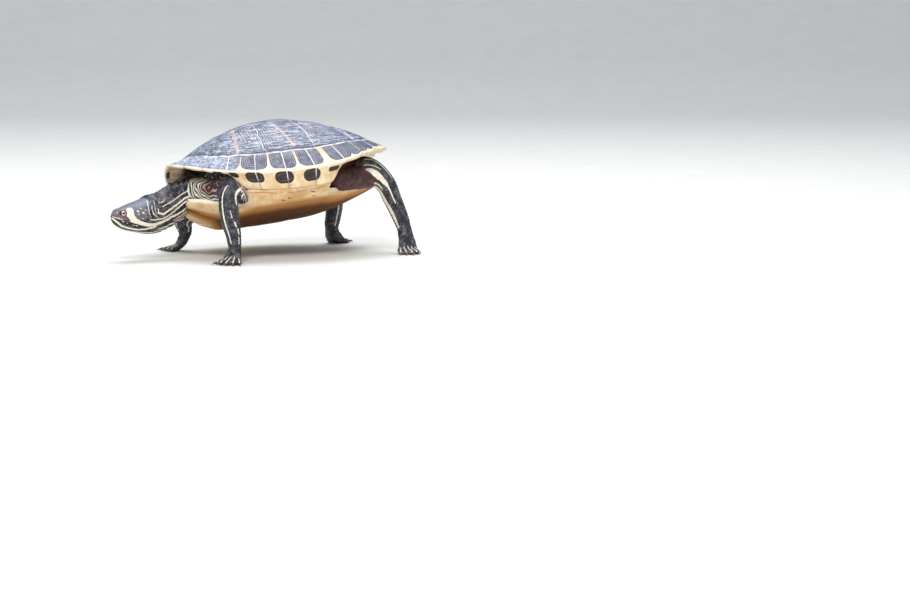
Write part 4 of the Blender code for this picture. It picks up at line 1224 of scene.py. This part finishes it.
def make_skin(paths):
    forms = flesh_forms(paths)
    loose = len(forms)
    for name in FEET:
        forms += foot_forms(name)
    skin = drawn_round([*forms, trunk_form()], loose)
    points = settle(skin, 6, 0.3 + 0.7 * smooth(vertices(skin)[:, 2], 0.0006, 0.0030))
    refine(skin, limb_mask(points, paths) | near_head(points, 0.030))
    refine(skin, near_head(vertices(skin) - ORIGIN, 0.028))
    settle(skin, 3)
    return skin


def limb_mask(points, paths):
    """True where the skin shows: the neck, the limbs and the feet."""
    shown = points[:, 2] < LOW_SKIN
    for name, path in paths.items():
        distance, _, out, radius = path.locate(points)
        outside = distance < path.length * 0.85 if name == "neck" else distance > path.length * 0.35
        shown |= (out < radius * 1.6) & outside
    return shown


# --- markings and relief of the skin ---

# Stripes of the head and neck, the same on both sides: (distance from the snout, distance below the side
# line measured round the skin, half-width), in millimetres.
PALE_STRIPES = (
    ((16.0, -7.5, 2.8), (15.5, -2.0, 3.2), (18.5, 3.0, 3.0), (25.0, 6.0, 2.3), (34.5, 8.3, 2.0),
     (41.0, 8.4, 1.8),
     (50.5, 7.5, 1.6), (59.0, 5.5, 1.4), (72.0, 6.4, 1.2), (90.0, 8.0, 1.3), (105.0, 9.0, 1.4),
     (120.0, 10.0, 1.4)),
    ((46.5, -8.0, 0.4), (45.5, -3.5, 0.9), (51.0, -0.6, 1.1), (57.0, -2.7, 1.0), (65.0, -4.2, 1.0),
     (76.5, -4.1, 1.0), (88.5, -2.9, 1.1), (105.0, 0.5, 1.4), (120.0, 2.0, 1.4)),
    ((36.5, 2.4, 0.5), (41.0, 3.0, 0.6), (50.5, 4.0, 0.7), (57.0, 2.4, 0.7), (65.5, 0.2, 0.8),
     (76.5, -0.6, 0.8),
     (90.0, 1.5, 0.9), (105.0, 4.6, 1.2), (120.0, 6.0, 1.2)),
    ((46.0, 15.5, 0.8), (50.0, 16.0, 1.0), (56.0, 15.0, 1.0), (65.0, 14.4, 0.9), (72.0, 14.8, 0.8),
     (95.0, 14.8, 1.4),
     (120.0, 15.0, 1.8)),
    ((0.5, 2.8, 0.6), (4.0, 6.2, 0.8), (9.5, 11.0, 1.0), (17.0, 13.8, 1.1), (26.0, 15.4, 1.3),
     (34.5, 14.0, 1.3),
     (41.0, 11.0, 1.3)),
    ((20.0, 21.5, 0.4), (30.0, 24.0, 0.6), (38.5, 23.0, 0.6), (44.0, 22.0, 0.4)),
    ((36.0, -19.0, 0.3), (34.6, -12.0, 0.35), (34.6, -4.3, 0.4), (36.6, -0.4, 0.4)),
    ((42.0, -18.0, 0.3), (38.2, -10.0, 0.35), (39.5, -3.0, 0.4), (43.5, 0.2, 0.4)),
    ((45.0, -17.0, 0.25), (42.4, -7.0, 0.35), (43.4, -2.6, 0.3)),
    ((0.7, 0.7, 0.5), (4.1, 1.6, 0.5), (8.8, 3.4, 0.3)),
    ((4.0, -4.0, 0.2), (9.0, -6.0, 0.3), (13.0, -7.2, 0.2)),
    ((52.0, -9.0, 0.3), (60.0, -10.0, 0.5), (75.0, -10.0, 0.5), (92.0, -7.5, 0.6)),
    ((50.0, -14.0, 0.3), (54.0, -13.5, 0.5), (58.0, -15.0, 0.3)),
    ((62.0, 10.6, 0.5), (72.0, 10.8, 0.9), (95.0, 12.0, 0.9), (120.0, 12.6, 0.9)),
    ((0.5, 26.0, 1.2), (20.0, 26.0, 1.2), (40.0, 27.0, 1.4), (80.0, 28.0, 1.1)),
    ((10.0, 18.0, 0.3), (18.0, 18.6, 0.5), (28.0, 20.2, 0.6), (42.0, 19.6, 0.8), (60.0, 19.6, 0.9),
     (85.0, 20.0, 1.6),
     (115.0, 20.4, 1.8)),
)  # fmt: skip
DARK_STRIPES = (
    ((2.0, 2.6, 0.4), (5.4, 4.5, 0.8), (11.5, 6.6, 1.5), (19.0, 8.4, 1.9), (25.0, 9.8, 1.7),
     (30.5, 10.4, 0.6)),
    ((2.0, 7.0, 0.4), (8.0, 12.8, 0.5), (13.6, 16.2, 0.6), (24.0, 18.0, 0.7), (33.0, 16.8, 0.7),
     (42.0, 14.0, 0.6),
     (50.0, 11.6, 0.6), (55.0, 10.2, 0.5), (64.0, 8.4, 0.5), (72.0, 8.7, 0.5)),
)  # fmt: skip
FLECKS = (  # pale ones, over the dark stripes and the temple
    ((9.0, 5.4, 0.6), (10.2, 5.7, 0.6)), ((19.0, 8.9, 0.4), (24.0, 9.8, 0.5)), ((13.0, 7.0, 0.3),
     (14.0, 7.2, 0.3)),
    ((22.8, -5.8, 0.8), (23.4, -5.6, 0.8)), ((28.0, -4.5, 0.9), (28.9, -4.1, 0.8)), ((23.0, -2.8, 0.4),
     (24.0, -2.5, 0.4)),
    ((26.0, -9.0, 0.4), (26.6, -8.8, 0.4)), ((30.6, -7.6, 0.4), (31.0, -7.0, 0.4)), ((27.0, 1.0, 0.3),
     (28.4, 1.4, 0.3)),
)  # fmt: skip
MOUTH = (  # its slit: distance from the snout, distance below the side line, in millimetres
    (0.3, 2.6), (2.0, 3.2), (6.0, 4.6), (12.5, 6.5), (18.0, 8.2), (22.0, 10.0),
)  # fmt: skip
TYMPANUM = (33.0, -2.0, 3.6)  # the ear disc: its middle, as for the mouth, and its radius
# Stripes of the legs: (share of the way out, degrees round from the inner side by way of the rear, half-width
# in millimetres).
LEG_STRIPES = {
    "foreleg": (
        ((0.47, -112, 0.45), (0.55, -114, 0.65), (0.71, -119, 0.85), (0.83, -124, 0.75), (1.0, -130, 0.5)),
        ((0.28, -135, 0.3), (0.36, -150, 0.5), (0.44, -175, 0.8), (0.51, -191, 1.4), (0.57, -208, 1.5),
         (0.61, -214, 0.6)),
        ((0.66, -163, 0.4), (0.72, -172, 0.55)), ((0.765, -186, 1.0), (0.80, -194, 1.1)),
        ((0.83, -204, 0.9), (0.88, -207, 0.9)), ((0.91, -203, 0.7), (0.99, -196, 0.5)),
        ((0.76, -75, 0.4), (0.86, -72, 0.4)),
        ((0.45, 20, 0.8), (0.70, 10, 0.8), (1.0, 5, 0.7)),
    ),
    "hind_leg": (
        ((0.26, -110, 2.0), (0.46, -97, 2.6), (0.63, -98, 2.0), (0.83, -112, 1.9), (1.0, -112, 1.0)),
        ((0.30, -137, 0.6), (0.46, -129, 0.75), (0.56, -125, 0.6), (0.60, -122, 0.2)),
        ((0.24, -165, 1.6), (0.33, -170, 2.4), (0.46, -165, 3.1), (0.55, -163, 2.4), (0.60, -162, 0.9),
         (0.76, -165, 0.6)),
        ((0.22, 165, 0.6), (0.34, 160, 0.6), (0.42, 155, 0.4)),
        ((0.22, 135, 0.5), (0.33, 122, 0.5), (0.46, 130, 0.5), (0.55, 135, 0.3)),
        ((0.35, 20, 1.2), (0.70, 10, 1.0), (1.0, 5, 0.7)),
        ((0.35, 70, 0.9), (0.60, 72, 0.8), (0.80, 75, 0.5)),
    ),
}


def stripe_distance(along, below, stripes):
    """Distance in millimetres to the edges of stripes laid out on the skin: negative inside one."""
    lines = [(one[:2], two[:2], one[2], two[2]) for stripe in stripes for one, two in zip(stripe, stripe[1:])]
    return from_lines(np.stack([along, below], -1), lines, 20.0)


def leg_stripes(stripes, share, turned, radius, length):
    """Millimetres inside a leg's stripes: negative outside them."""
    best = np.full(len(share), 20.0)
    for stripe in stripes:
        for (s0, t0, h0), (s1, t1, h1) in zip(stripe, stripe[1:]):
            ratio = np.clip((share - s0) / (s1 - s0), 0, 1)
            round_it = np.radians(np.abs(wrapped(turned - t0 - (t1 - t0) * ratio))) * radius * 1000
            along_it = np.maximum(np.maximum(s0 - share, share - s1), 0) * length * 1000
            best = np.minimum(best, np.hypot(round_it, along_it) - h0 - (h1 - h0) * ratio)
    return -best


def around_top(turn):
    """Degrees from the crown, whichever side."""
    return np.abs(wrapped(turn - 90))


def sculpt_head(back, side, up, from_eye, along, below):
    """(how far the lids move along the head's axes, lift of the nostrils, the mouth and the ear disc)."""
    near = along < 60.0
    gaze = unit(np.array((-0.20, 1.0, 0.28)))
    flat_back = unit(np.array((1.0, 0.0, 0.0)) - gaze * gaze[0])
    flat_up = np.cross(flat_back, gaze)
    opening = np.hypot(from_eye @ flat_back / LID_OPENING[0], from_eye @ flat_up / LID_OPENING[1])
    lid = EYE_RADIUS + 0.0007 - 0.0016 * smooth(opening, 1.04, 0.90)
    lid += 0.00025 * bell(opening - 1.2, 0.12)
    weight = smooth(opening, 2.1, 1.45) * smooth(from_eye @ gaze, 0.0005, 0.0020) * near
    weight *= smooth(up, 0.0082, 0.0060) * smooth(back, 0.0034, 0.0056)
    push = (lid / np.maximum(np.linalg.norm(from_eye, axis=1), 1e-6) - 1) * weight
    nostril = np.sqrt((side - 0.0013) ** 2 + (up - 0.0001) ** 2 + np.maximum(back - 0.0012, 0) ** 2)
    lift = -0.0009 * smooth(nostril, 0.0007, 0.0003) * near * (back < 0.003)
    from_lips = below - np.interp(along, *np.array(MOUTH).T)
    behind = along - MOUTH[-1][0]
    jaw = near * (along < 30)
    lift -= 0.00055 * bell(np.abs(from_lips) + 3 * np.maximum(behind, 0), 0.30) * jaw
    lift += 0.00025 * bell(from_lips + 0.9, 0.6) * jaw * (behind < 0)
    ear = np.hypot(along - TYMPANUM[0], below - TYMPANUM[1]) / TYMPANUM[2]
    lift += (0.00025 * smooth(ear, 1.0, 0.2) - 0.00030 * bell(ear - 1, 0.16)) * near
    return from_eye * push[:, None], lift


def sculpt_neck(along, turn):
    """Ring folds round the neck, and the skin's step behind the skull."""
    top = around_top(turn)
    turn = np.radians(turn)
    drift = 3.0 * np.sin(turn * 2 + 0.7) + 2.2 * np.sin(turn * 5 + along / 9)
    wave = ripple(along + drift, 6.5)
    folds = np.maximum(wave, -0.35) * 0.00042 - 0.0001
    folds += 0.00016 * ripple(along + 1.6 * drift, 2.7)
    folds += 0.0004 * np.sin(turn * 9 + along / 14) * smooth(top, 120, 160)
    step = 0.0007 * smooth(along, 39.6, 41.0) * smooth(along, 52, 43) * smooth(top, 80, 40)
    return step + folds * smooth(along, 41, 52)


def dress(skin, paths):
    """Sculpts the skin and keeps its markings with the vertices."""
    points, normal, edges = vertices(skin) - ORIGIN, normals(skin), edge_list(skin)
    along, turn, out, radius = paths["neck"].locate(points)
    along = along * 1000
    from_crown = around_top(turn)
    below = np.radians(from_crown - 90) * radius * 1000
    limbs = {name: path.locate(points) for name, path in paths.items() if name != "neck"}
    # which form each point belongs to
    fit = {name: found[2] - found[3] for name, found in limbs.items()}
    fit.update(neck=out - radius, trunk=np.full(len(points), TRUNK_MARGIN))
    owner = np.array(list(fit.values())).argmin(0)
    own = {name: owner == index for index, name in enumerate(fit)}
    head_neck = own["neck"]
    # the head and the neck
    off = points - SNOUT
    back, side, up = off @ HEAD_AXIS, off @ HEAD_LEFT, off @ HEAD_TOP
    from_eye = np.stack([back - EYE_BACK, np.abs(side) - EYE_OUT, up - EYE_UP], -1)
    moved, lift = sculpt_head(back, np.abs(side), up, from_eye, along, below)
    moved[:, 1] *= np.sign(side)
    moved = moved[:, :1] * HEAD_AXIS + moved[:, 1:2] * HEAD_LEFT + moved[:, 2:] * HEAD_TOP
    lift = np.where(head_neck, lift + sculpt_neck(along, turn), 0)
    pale, dark, fleck = (-stripe_distance(along, below, s) for s in (PALE_STRIPES, DARK_STRIPES, FLECKS))
    pale = np.where(head_neck, np.maximum(pale, fleck), PLAIN)
    dark = np.where(head_neck, np.minimum(dark, -fleck), PLAIN)
    # the legs and the feet
    scaly = np.zeros(len(points))
    for name in LEGS:
        distance, turned, _, size = limbs[name]
        length = paths[name].length
        share = distance / length
        mirrored = wrapped(turned if name.endswith("left") else 180 - turned)
        stripes = leg_stripes(LEG_STRIPES[name.rsplit("_", 1)[0]], share, mirrored, size, length)
        pale = np.where(own[name], stripes, pale)
        scaly = np.where(own[name], 1.0, scaly)
        waves = ripple(distance * 1000, 3.4, np.radians(turned) * 3)
        lift = np.where(own[name], 0.00018 * waves * smooth(share, 0.35, 0.5), lift)
    feet = points[:, 2] < FEET_TOP
    pale = np.where(feet, toe_ridges(points), pale)
    scaly = np.where(feet, 1.0, scaly)
    # the shoulders, and the loose skin of the groins
    shoulder, lines, contour = shoulder_lines(points, own, limbs, along, paths)
    pale = np.where(shoulder & (pale < 0.1), np.maximum(pale, lines), pale)
    lift = np.where(shoulder, lift + 0.0003 * np.clip(lines, -1, 1), lift)
    inner = own["trunk"].copy()
    for name in ("hind_leg_left", "hind_leg_right"):
        inner |= own[name] & (limbs[name][0] < 0.28 * paths[name].length)
    pocket = inner & (points[:, 0] > 0.0) & (points[:, 2] > LOW_SKIN)
    pale = np.where(pocket, PLAIN, pale)
    lift += np.where(own["trunk"], 0.0004 * wobble(points, 0.004, 3.0), 0)
    lift = relaxed(lift, edges, 1)
    lift = np.where(head_neck & (along < SNOUT_TIP), np.minimum(lift, -0.00015), lift)
    points = points + moved + normal * lift[:, None]
    points[:, 2] = np.maximum(points[:, 2], 0)
    move_vertices(skin, points + ORIGIN)
    lid = smooth(np.linalg.norm(from_eye, axis=1), 0.0072, 0.0060) * smooth(up, 0.0080, 0.0060)
    temple = smooth(np.hypot((along - 26.0) / 9.5, (below + 5.0) / 9.0), 1.0, 0.75)
    mark(
        skin,
        pale=pale,
        dark=dark,
        scaly=relaxed(scaly, edges, 6),
        pocket=relaxed(pocket.astype(float), edges, 8),
        head=smooth(along, 44, 38) * head_neck,
        lid=lid * head_neck,
        temple=temple * head_neck,
        crown=smooth(from_crown, 80, 45) * head_neck,
        salmon=relaxed(shoulder * smooth(contour, 21, 11), edges, 6),
    )


# What the left shoulder's stripes go round.
SHOULDER_KNOTS = ((-0.098, -0.038, 0.0825), (-0.086, -0.050, 0.0860))


def shoulder_lines(points, own, limbs, along, paths):
    """(where the shoulders are, their stripes in millimetres inside them, millimetres from the knots)."""
    right = points[:, 1] > 0.012
    turned = points.copy()
    turned[:, 1] *= np.where(right, -1.0, 1.0)
    turned[:, 2] += np.where(right, 0.016, 0)
    reaches = []
    for knot in SHOULDER_KNOTS:
        off = turned - knot
        off[:, 0] *= np.where(off[:, 0] < 0, 0.55, 1.0)
        reaches.append(np.linalg.norm(off, axis=1) * 1000)
    first, second = reaches
    contour = -3.0 * np.log(np.exp(-first / 3.0) + np.exp(-second / 3.0))
    contour += 1.3 * np.sin(points[:, 0] * 420 + points[:, 2] * 260) + 0.8 * np.sin(points[:, 1] * 600 + 1.0)
    lines = ripple(contour, 3.8)
    lines = lines * 1.1 - 0.80 + 0.62 * smooth(contour, 8, 24) - 1.2 * smooth(points[:, 2], 0.080, 0.086)
    here = own["trunk"] | (own["neck"] & (along > 110))
    for name in ("foreleg_left", "foreleg_right"):
        here |= own[name] & (limbs[name][0] < 0.30 * paths[name].length)
    # the roll behind the left foreleg has upright stripes
    _, off = from_line(turned, *FOLDS[1][:2])
    behind = (np.linalg.norm(off, axis=1) < 0.0125) & (off[:, 0] > -0.001) & (points[:, 1] < 0)
    upright = ripple(off[:, 0] * 1000 + 0.25 * off[:, 2] * 1000, 3.3)
    lines = np.where(behind, upright * 1.1 - 0.35, lines)
    here = (here | behind) & (points[:, 0] < -0.03) & (contour < 48) & (points[:, 2] > LOW_SKIN)
    return here, lines, np.where(behind, 14.0, contour)


def toe_ridges(points):
    """Pale lines down the tops of the toes, in millimetres inside them."""
    best = np.full(len(points), PLAIN)
    for name in FEET:
        for root, tip in foot_places(name)[5]:
            share, off = from_line(points, root, tip)
            sideways = np.linalg.norm(off[:, :2], axis=1) * 1000
            best = np.maximum(best, 0.75 - sideways - 4 * (share < 0.1) - 4 * (off[:, 2] < 0))
    return best


def skin_paint():
    paint = Paint("skin_paint")
    ramp, times, field, shade, cells = paint.ramp, paint.times, paint.field, paint.shade, paint.cells
    mottle = paint.noise(0.006, 4.0, 0.6)
    fine = paint.noise(0.0012, 3.0, 0.6)
    grain, scale = cells(0.0011), cells(0.0027)
    scaly, head, salmon = field("scaly"), field("head"), field("salmon")
    pale, dark = paint.rough("pale", 1.1, fine), paint.rough("dark", 1.1, fine)
    smoother = paint.less(times(scaly, 0.75))
    # the dark skin: flecked and netted on the neck, plated and netted on the legs; the plates' lighter
    # centres are partly their own grey and partly painted highlight
    fleck = times(ramp(grain, 0.38, 0.20), ramp(mottle, 0.44, 0.54), 0.5, smoother)
    small, large = cells(0.0024, "DISTANCE_TO_EDGE"), cells(0.0030, "DISTANCE_TO_EDGE")
    mesh = times(ramp(small, 0.14, 0.04), smoother, ramp(mottle, 0.46, 0.60, 0.0, 0.7))
    bare = times(scaly, ramp(pale, -0.5, -1.0))
    plate_tone_and_highlight = times(ramp(scale, 0.42, 0.20), ramp(mottle, 0.58, 0.42, 0.1, 0.85), bare, 0.7)
    net = times(ramp(large, 0.11, 0.03), times(ramp(mottle, 0.48, 0.62, 0.0, 0.65), scaly))
    wet = shade(mottle, 0.35, 0.65, (38, 15, 16), (90, 46, 44))
    wet = paint.mix(ramp(fine, 0.55, 0.68, 0.0, 0.55), wet, (136, 92, 86))
    base = paint.coats(
        shade(mottle, 0.35, 0.7, (18, 18, 24), (44, 44, 54)),
        (fleck, (160, 158, 170)),
        (mesh, (150, 146, 154)),
        # the plates' lighter centres: their own grey with painted highlight
        (plate_tone_and_highlight, (98, 98, 116)),
        (net, (140, 138, 146)),
        # painted sheen: the crown of the head lighter and bluer, as if it reflected the sky
        (times(field("crown"), head, 0.8), shade(fine, 0.3, 0.7, (78, 88, 104), (116, 128, 148))),
        (times(field("temple"), 0.85), shade(fine, 0.35, 0.65, (74, 68, 80), (136, 128, 140))),
        (times(field("lid"), 0.75), paint.mix(mottle, (96, 66, 74), (150, 118, 122))),
        (times(salmon, 0.55), (60, 34, 32)),
        (field("pocket"), wet),
    )
    cream = paint.mix(salmon, shade(mottle, 0.3, 0.7, (250, 246, 230), (236, 222, 196)), (180, 134, 116))
    colour = paint.coats(base, (ramp(pale, -0.15, 0.2), cream), (ramp(dark, -0.12, 0.15), (20, 18, 22)))
    scaled = times(ramp(scale, 0.0, 0.6, 1.0, 0.0), scaly)
    pebbled = times(ramp(grain, 0.0, 0.6, 1.0, 0.0), paint.less(times(head, 0.8)))
    relief = ((scaled, 0.0005), (pebbled, 0.0003), (fine, 0.00008))
    return paint.finished(colour, ramp(fine, 0.3, 0.8, 0.38, 0.6), relief)


# --- eyes and claws ---


def eye(side):
    """An eyeball with its cornea, turned outwards: side is 1 for the left one and -1 for the right."""
    gaze = unit(HEAD_LEFT * side - HEAD_AXIS * 0.20 + HEAD_TOP * 0.28)
    centre = head_point(EYE_BACK, side * EYE_OUT, EYE_UP)
    across = unit(np.cross(gaze, HEAD_TOP))
    upward = np.cross(across, gaze)
    turn = 2 * np.pi * np.arange(64) / 64
    level, lifted = np.cos(turn)[:, None], np.sin(turn)[:, None]
    around = across * level + upward * lifted
    rings, fields = [], []
    for tilt in np.linspace(0.02, np.pi - 0.02, 60):
        reach = EYE_RADIUS * (1 + 0.045 * smooth(tilt, 0.75, 0.2))
        rings.append(gaze * math.cos(tilt) * reach + around * math.sin(tilt) * reach + centre)
        fields.append(np.hstack([np.full((64, 1), tilt), np.abs(lifted) * math.sin(tilt)]))
    points, faces = closed_rings(rings)
    made = closed_object(f"eyeball_{'left' if side > 0 else 'right'}", points, faces, eye_paint())
    tilt, lifted = np.concatenate(fields).T
    mark(made, tilt=tilt, lifted=lifted)
    return made


def eye_paint():
    paint = Paint("eye_paint", roughness=0.06)
    ramp = paint.ramp
    tilt = paint.field("tilt")
    bar = paint.times(ramp(paint.field("lifted"), 0.13, 0.08), ramp(tilt, 0.6, 0.5), 0.85)
    iris = paint.coats(
        paint.shade(paint.noise(0.0005, 3.0, 0.6), 0.35, 0.65, (176, 176, 150), (228, 228, 208)),
        (ramp(tilt, 0.44, 0.56), (40, 38, 30)),
        (bar, (30, 26, 22)),
        (ramp(tilt, 0.27, 0.23), (6, 6, 8)),
    )
    paint.shader.inputs["Coat Weight"].default_value = 1.0
    paint.shader.inputs["Coat Roughness"].default_value = 0.03
    return paint.finished(iris)


def claw(name, tip, along, side, finish):
    """A curved, pointed claw that turns down towards its tip."""
    rings = []
    base = tip + along * 0.0002
    shares = np.linspace(0, 1, 22)
    for share in shares:
        size = CLAW_RADIUS * float(np.interp(share, (0, 0.5, 1), (1.0, 0.75, 0.12)))
        centre = base + along * CLAW_LENGTH * share + np.array((0, 0, 0.0009 * math.sin(math.pi * share)))
        centre[2] = max(centre[2], size + 0.0002)
        rings.append(across_ring(centre, along, side, size * 0.85, size, 16))
    made = closed_object(name, *closed_rings(rings), finish)
    mark(made, reach=np.repeat(shares, 16))
    return made


def claw_paint():
    paint = Paint("claw_paint", roughness=0.3)
    grain = paint.noise(0.0008, 3.0, 0.6)
    horn = paint.coats(
        paint.shade(paint.field("reach"), 0.1, 0.9, (52, 44, 40), (120, 100, 80)),
        (paint.ramp(grain, 0.55, 0.75, 0.0, 0.5), (150, 132, 108)),
    )
    return paint.finished(horn, relief=((grain, 0.00006),))


# --- the stage ---

AZIMUTH = math.radians(-25)  # of the camera and the backdrop
VIEW_WIDTH = 910
PIXEL = 0.00104 / 3.0  # the view's angle, as a slope, for each of the 910 steps of its width


def camera():
    """A long lens three metres off, ahead and to the left of the animal and six degrees above it."""
    elevation, distance = math.radians(6), 3.0
    level = math.cos(elevation)
    ahead = np.array((-math.sin(AZIMUTH) * level, math.cos(AZIMUTH) * level, -math.sin(elevation)))
    aim = unit(np.array((-177.8 * PIXEL, 49.4 * PIXEL, -1.0)))  # where the origin is in the view
    yaw = math.atan2(ahead[1], ahead[0]) - math.acos(aim[0] / level)
    pitch = math.atan2(ahead[2], math.sqrt(level**2 - aim[0] ** 2)) - math.atan2(aim[2], aim[1])
    made = bpy.data.cameras.new("camera")
    made.sensor_width = 36
    made.lens = 36 / VIEW_WIDTH / PIXEL
    made.clip_end = 30
    placed = linked(bpy.data.objects.new("camera", made))
    placed.location = ORIGIN - ahead * distance
    placed.rotation_euler = (pitch, 0, yaw)
    bpy.context.scene.camera = placed


def lamp(name, place, power, size, colour=(1, 1, 1)):
    """A square lamp that shines at the animal."""
    made = bpy.data.lights.new(name, "AREA")
    made.energy, made.size, made.color = power, size, colour
    placed = linked(bpy.data.objects.new(name, made))
    placed.location = place
    placed.rotation_euler = (Vector((0, 0, 0.05)) - Vector(place)).to_track_quat("-Z", "Y").to_euler()


def stage():
    """A pale floor that curves up into a backdrop, and soft light from above."""
    points, faces = [], []
    for y, z in ((-6, 0), (2.5, 0), (3.1, 0.08), (3.6, 0.32), (3.95, 0.72), (4.1, 1.3), (4.15, 5)):
        points += [(-16, y, z), (16, y, z)]
    for low in range(0, len(points) - 2, 2):
        faces.append((low, low + 1, low + 3, low + 2))
    paint = Paint("floor_paint", roughness=0.85, specular=0.2)
    finish = paint.finished(paint.mix(paint.noise(0.05, 4.0), (214, 214, 210), (224, 224, 221)))
    floor = new_object("floor", points, faces, finish)
    floor.data.transform(Matrix.Rotation(AZIMUTH, 4, "Z"))
    scene = bpy.context.scene
    scene.world = bpy.data.worlds.new("studio")
    scene.world.use_nodes = True
    background = scene.world.node_tree.nodes["Background"]
    background.inputs["Color"].default_value = (0.80, 0.86, 0.95, 1)
    background.inputs["Strength"].default_value = 0.65
    lamp("sky", (0.3, 0.5, 2.2), 50, 1.8)
    lamp("key", (-1.0, -1.6, 1.9), 38, 0.7, (1.0, 0.97, 0.92))
    scene.view_settings.view_transform = "Standard"


# --- assembly ---


def build():
    camera()
    stage()
    tubes = {**LEGS, "tail": TAIL}
    paths = {name: Path(through(stations, np.linspace(0, 1, 120))) for name, stations in tubes.items()}
    paths["neck"] = head_neck_path()
    pieces = [(carapace(), "carapace_horn", ["carapace"]), (plastron(), "plastron_horn", ["plastron"])]
    skin = make_skin(paths)
    dress(skin, paths)
    skin.data.materials.clear()
    skin.data.materials.append(skin_paint())
    skin.data.shade_smooth()
    pieces.append((skin, "skin", ["trunk", "neck", "head", "tail", *LEGS, *FEET]))
    pieces += [(eye(1), "eye", ["eye_left"]), (eye(-1), "eye", ["eye_right"])]
    horn = claw_paint()
    for name in FEET:
        _, _, _, side, _, toes = foot_places(name)
        for index, (root, tip) in enumerate(toes[: FEET[name][4]], 1):
            along = unit(unit(tip - root) * (1, 1, 0.6))
            made = claw(f"{name}_nail_{index}", tip, along, side, horn)
            pieces.append((made, "claw_horn", [f"{name}_claw_{index}"]))
    for piece, slot, nodes in pieces:
        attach(piece, "root")
        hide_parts(*nodes)


build()
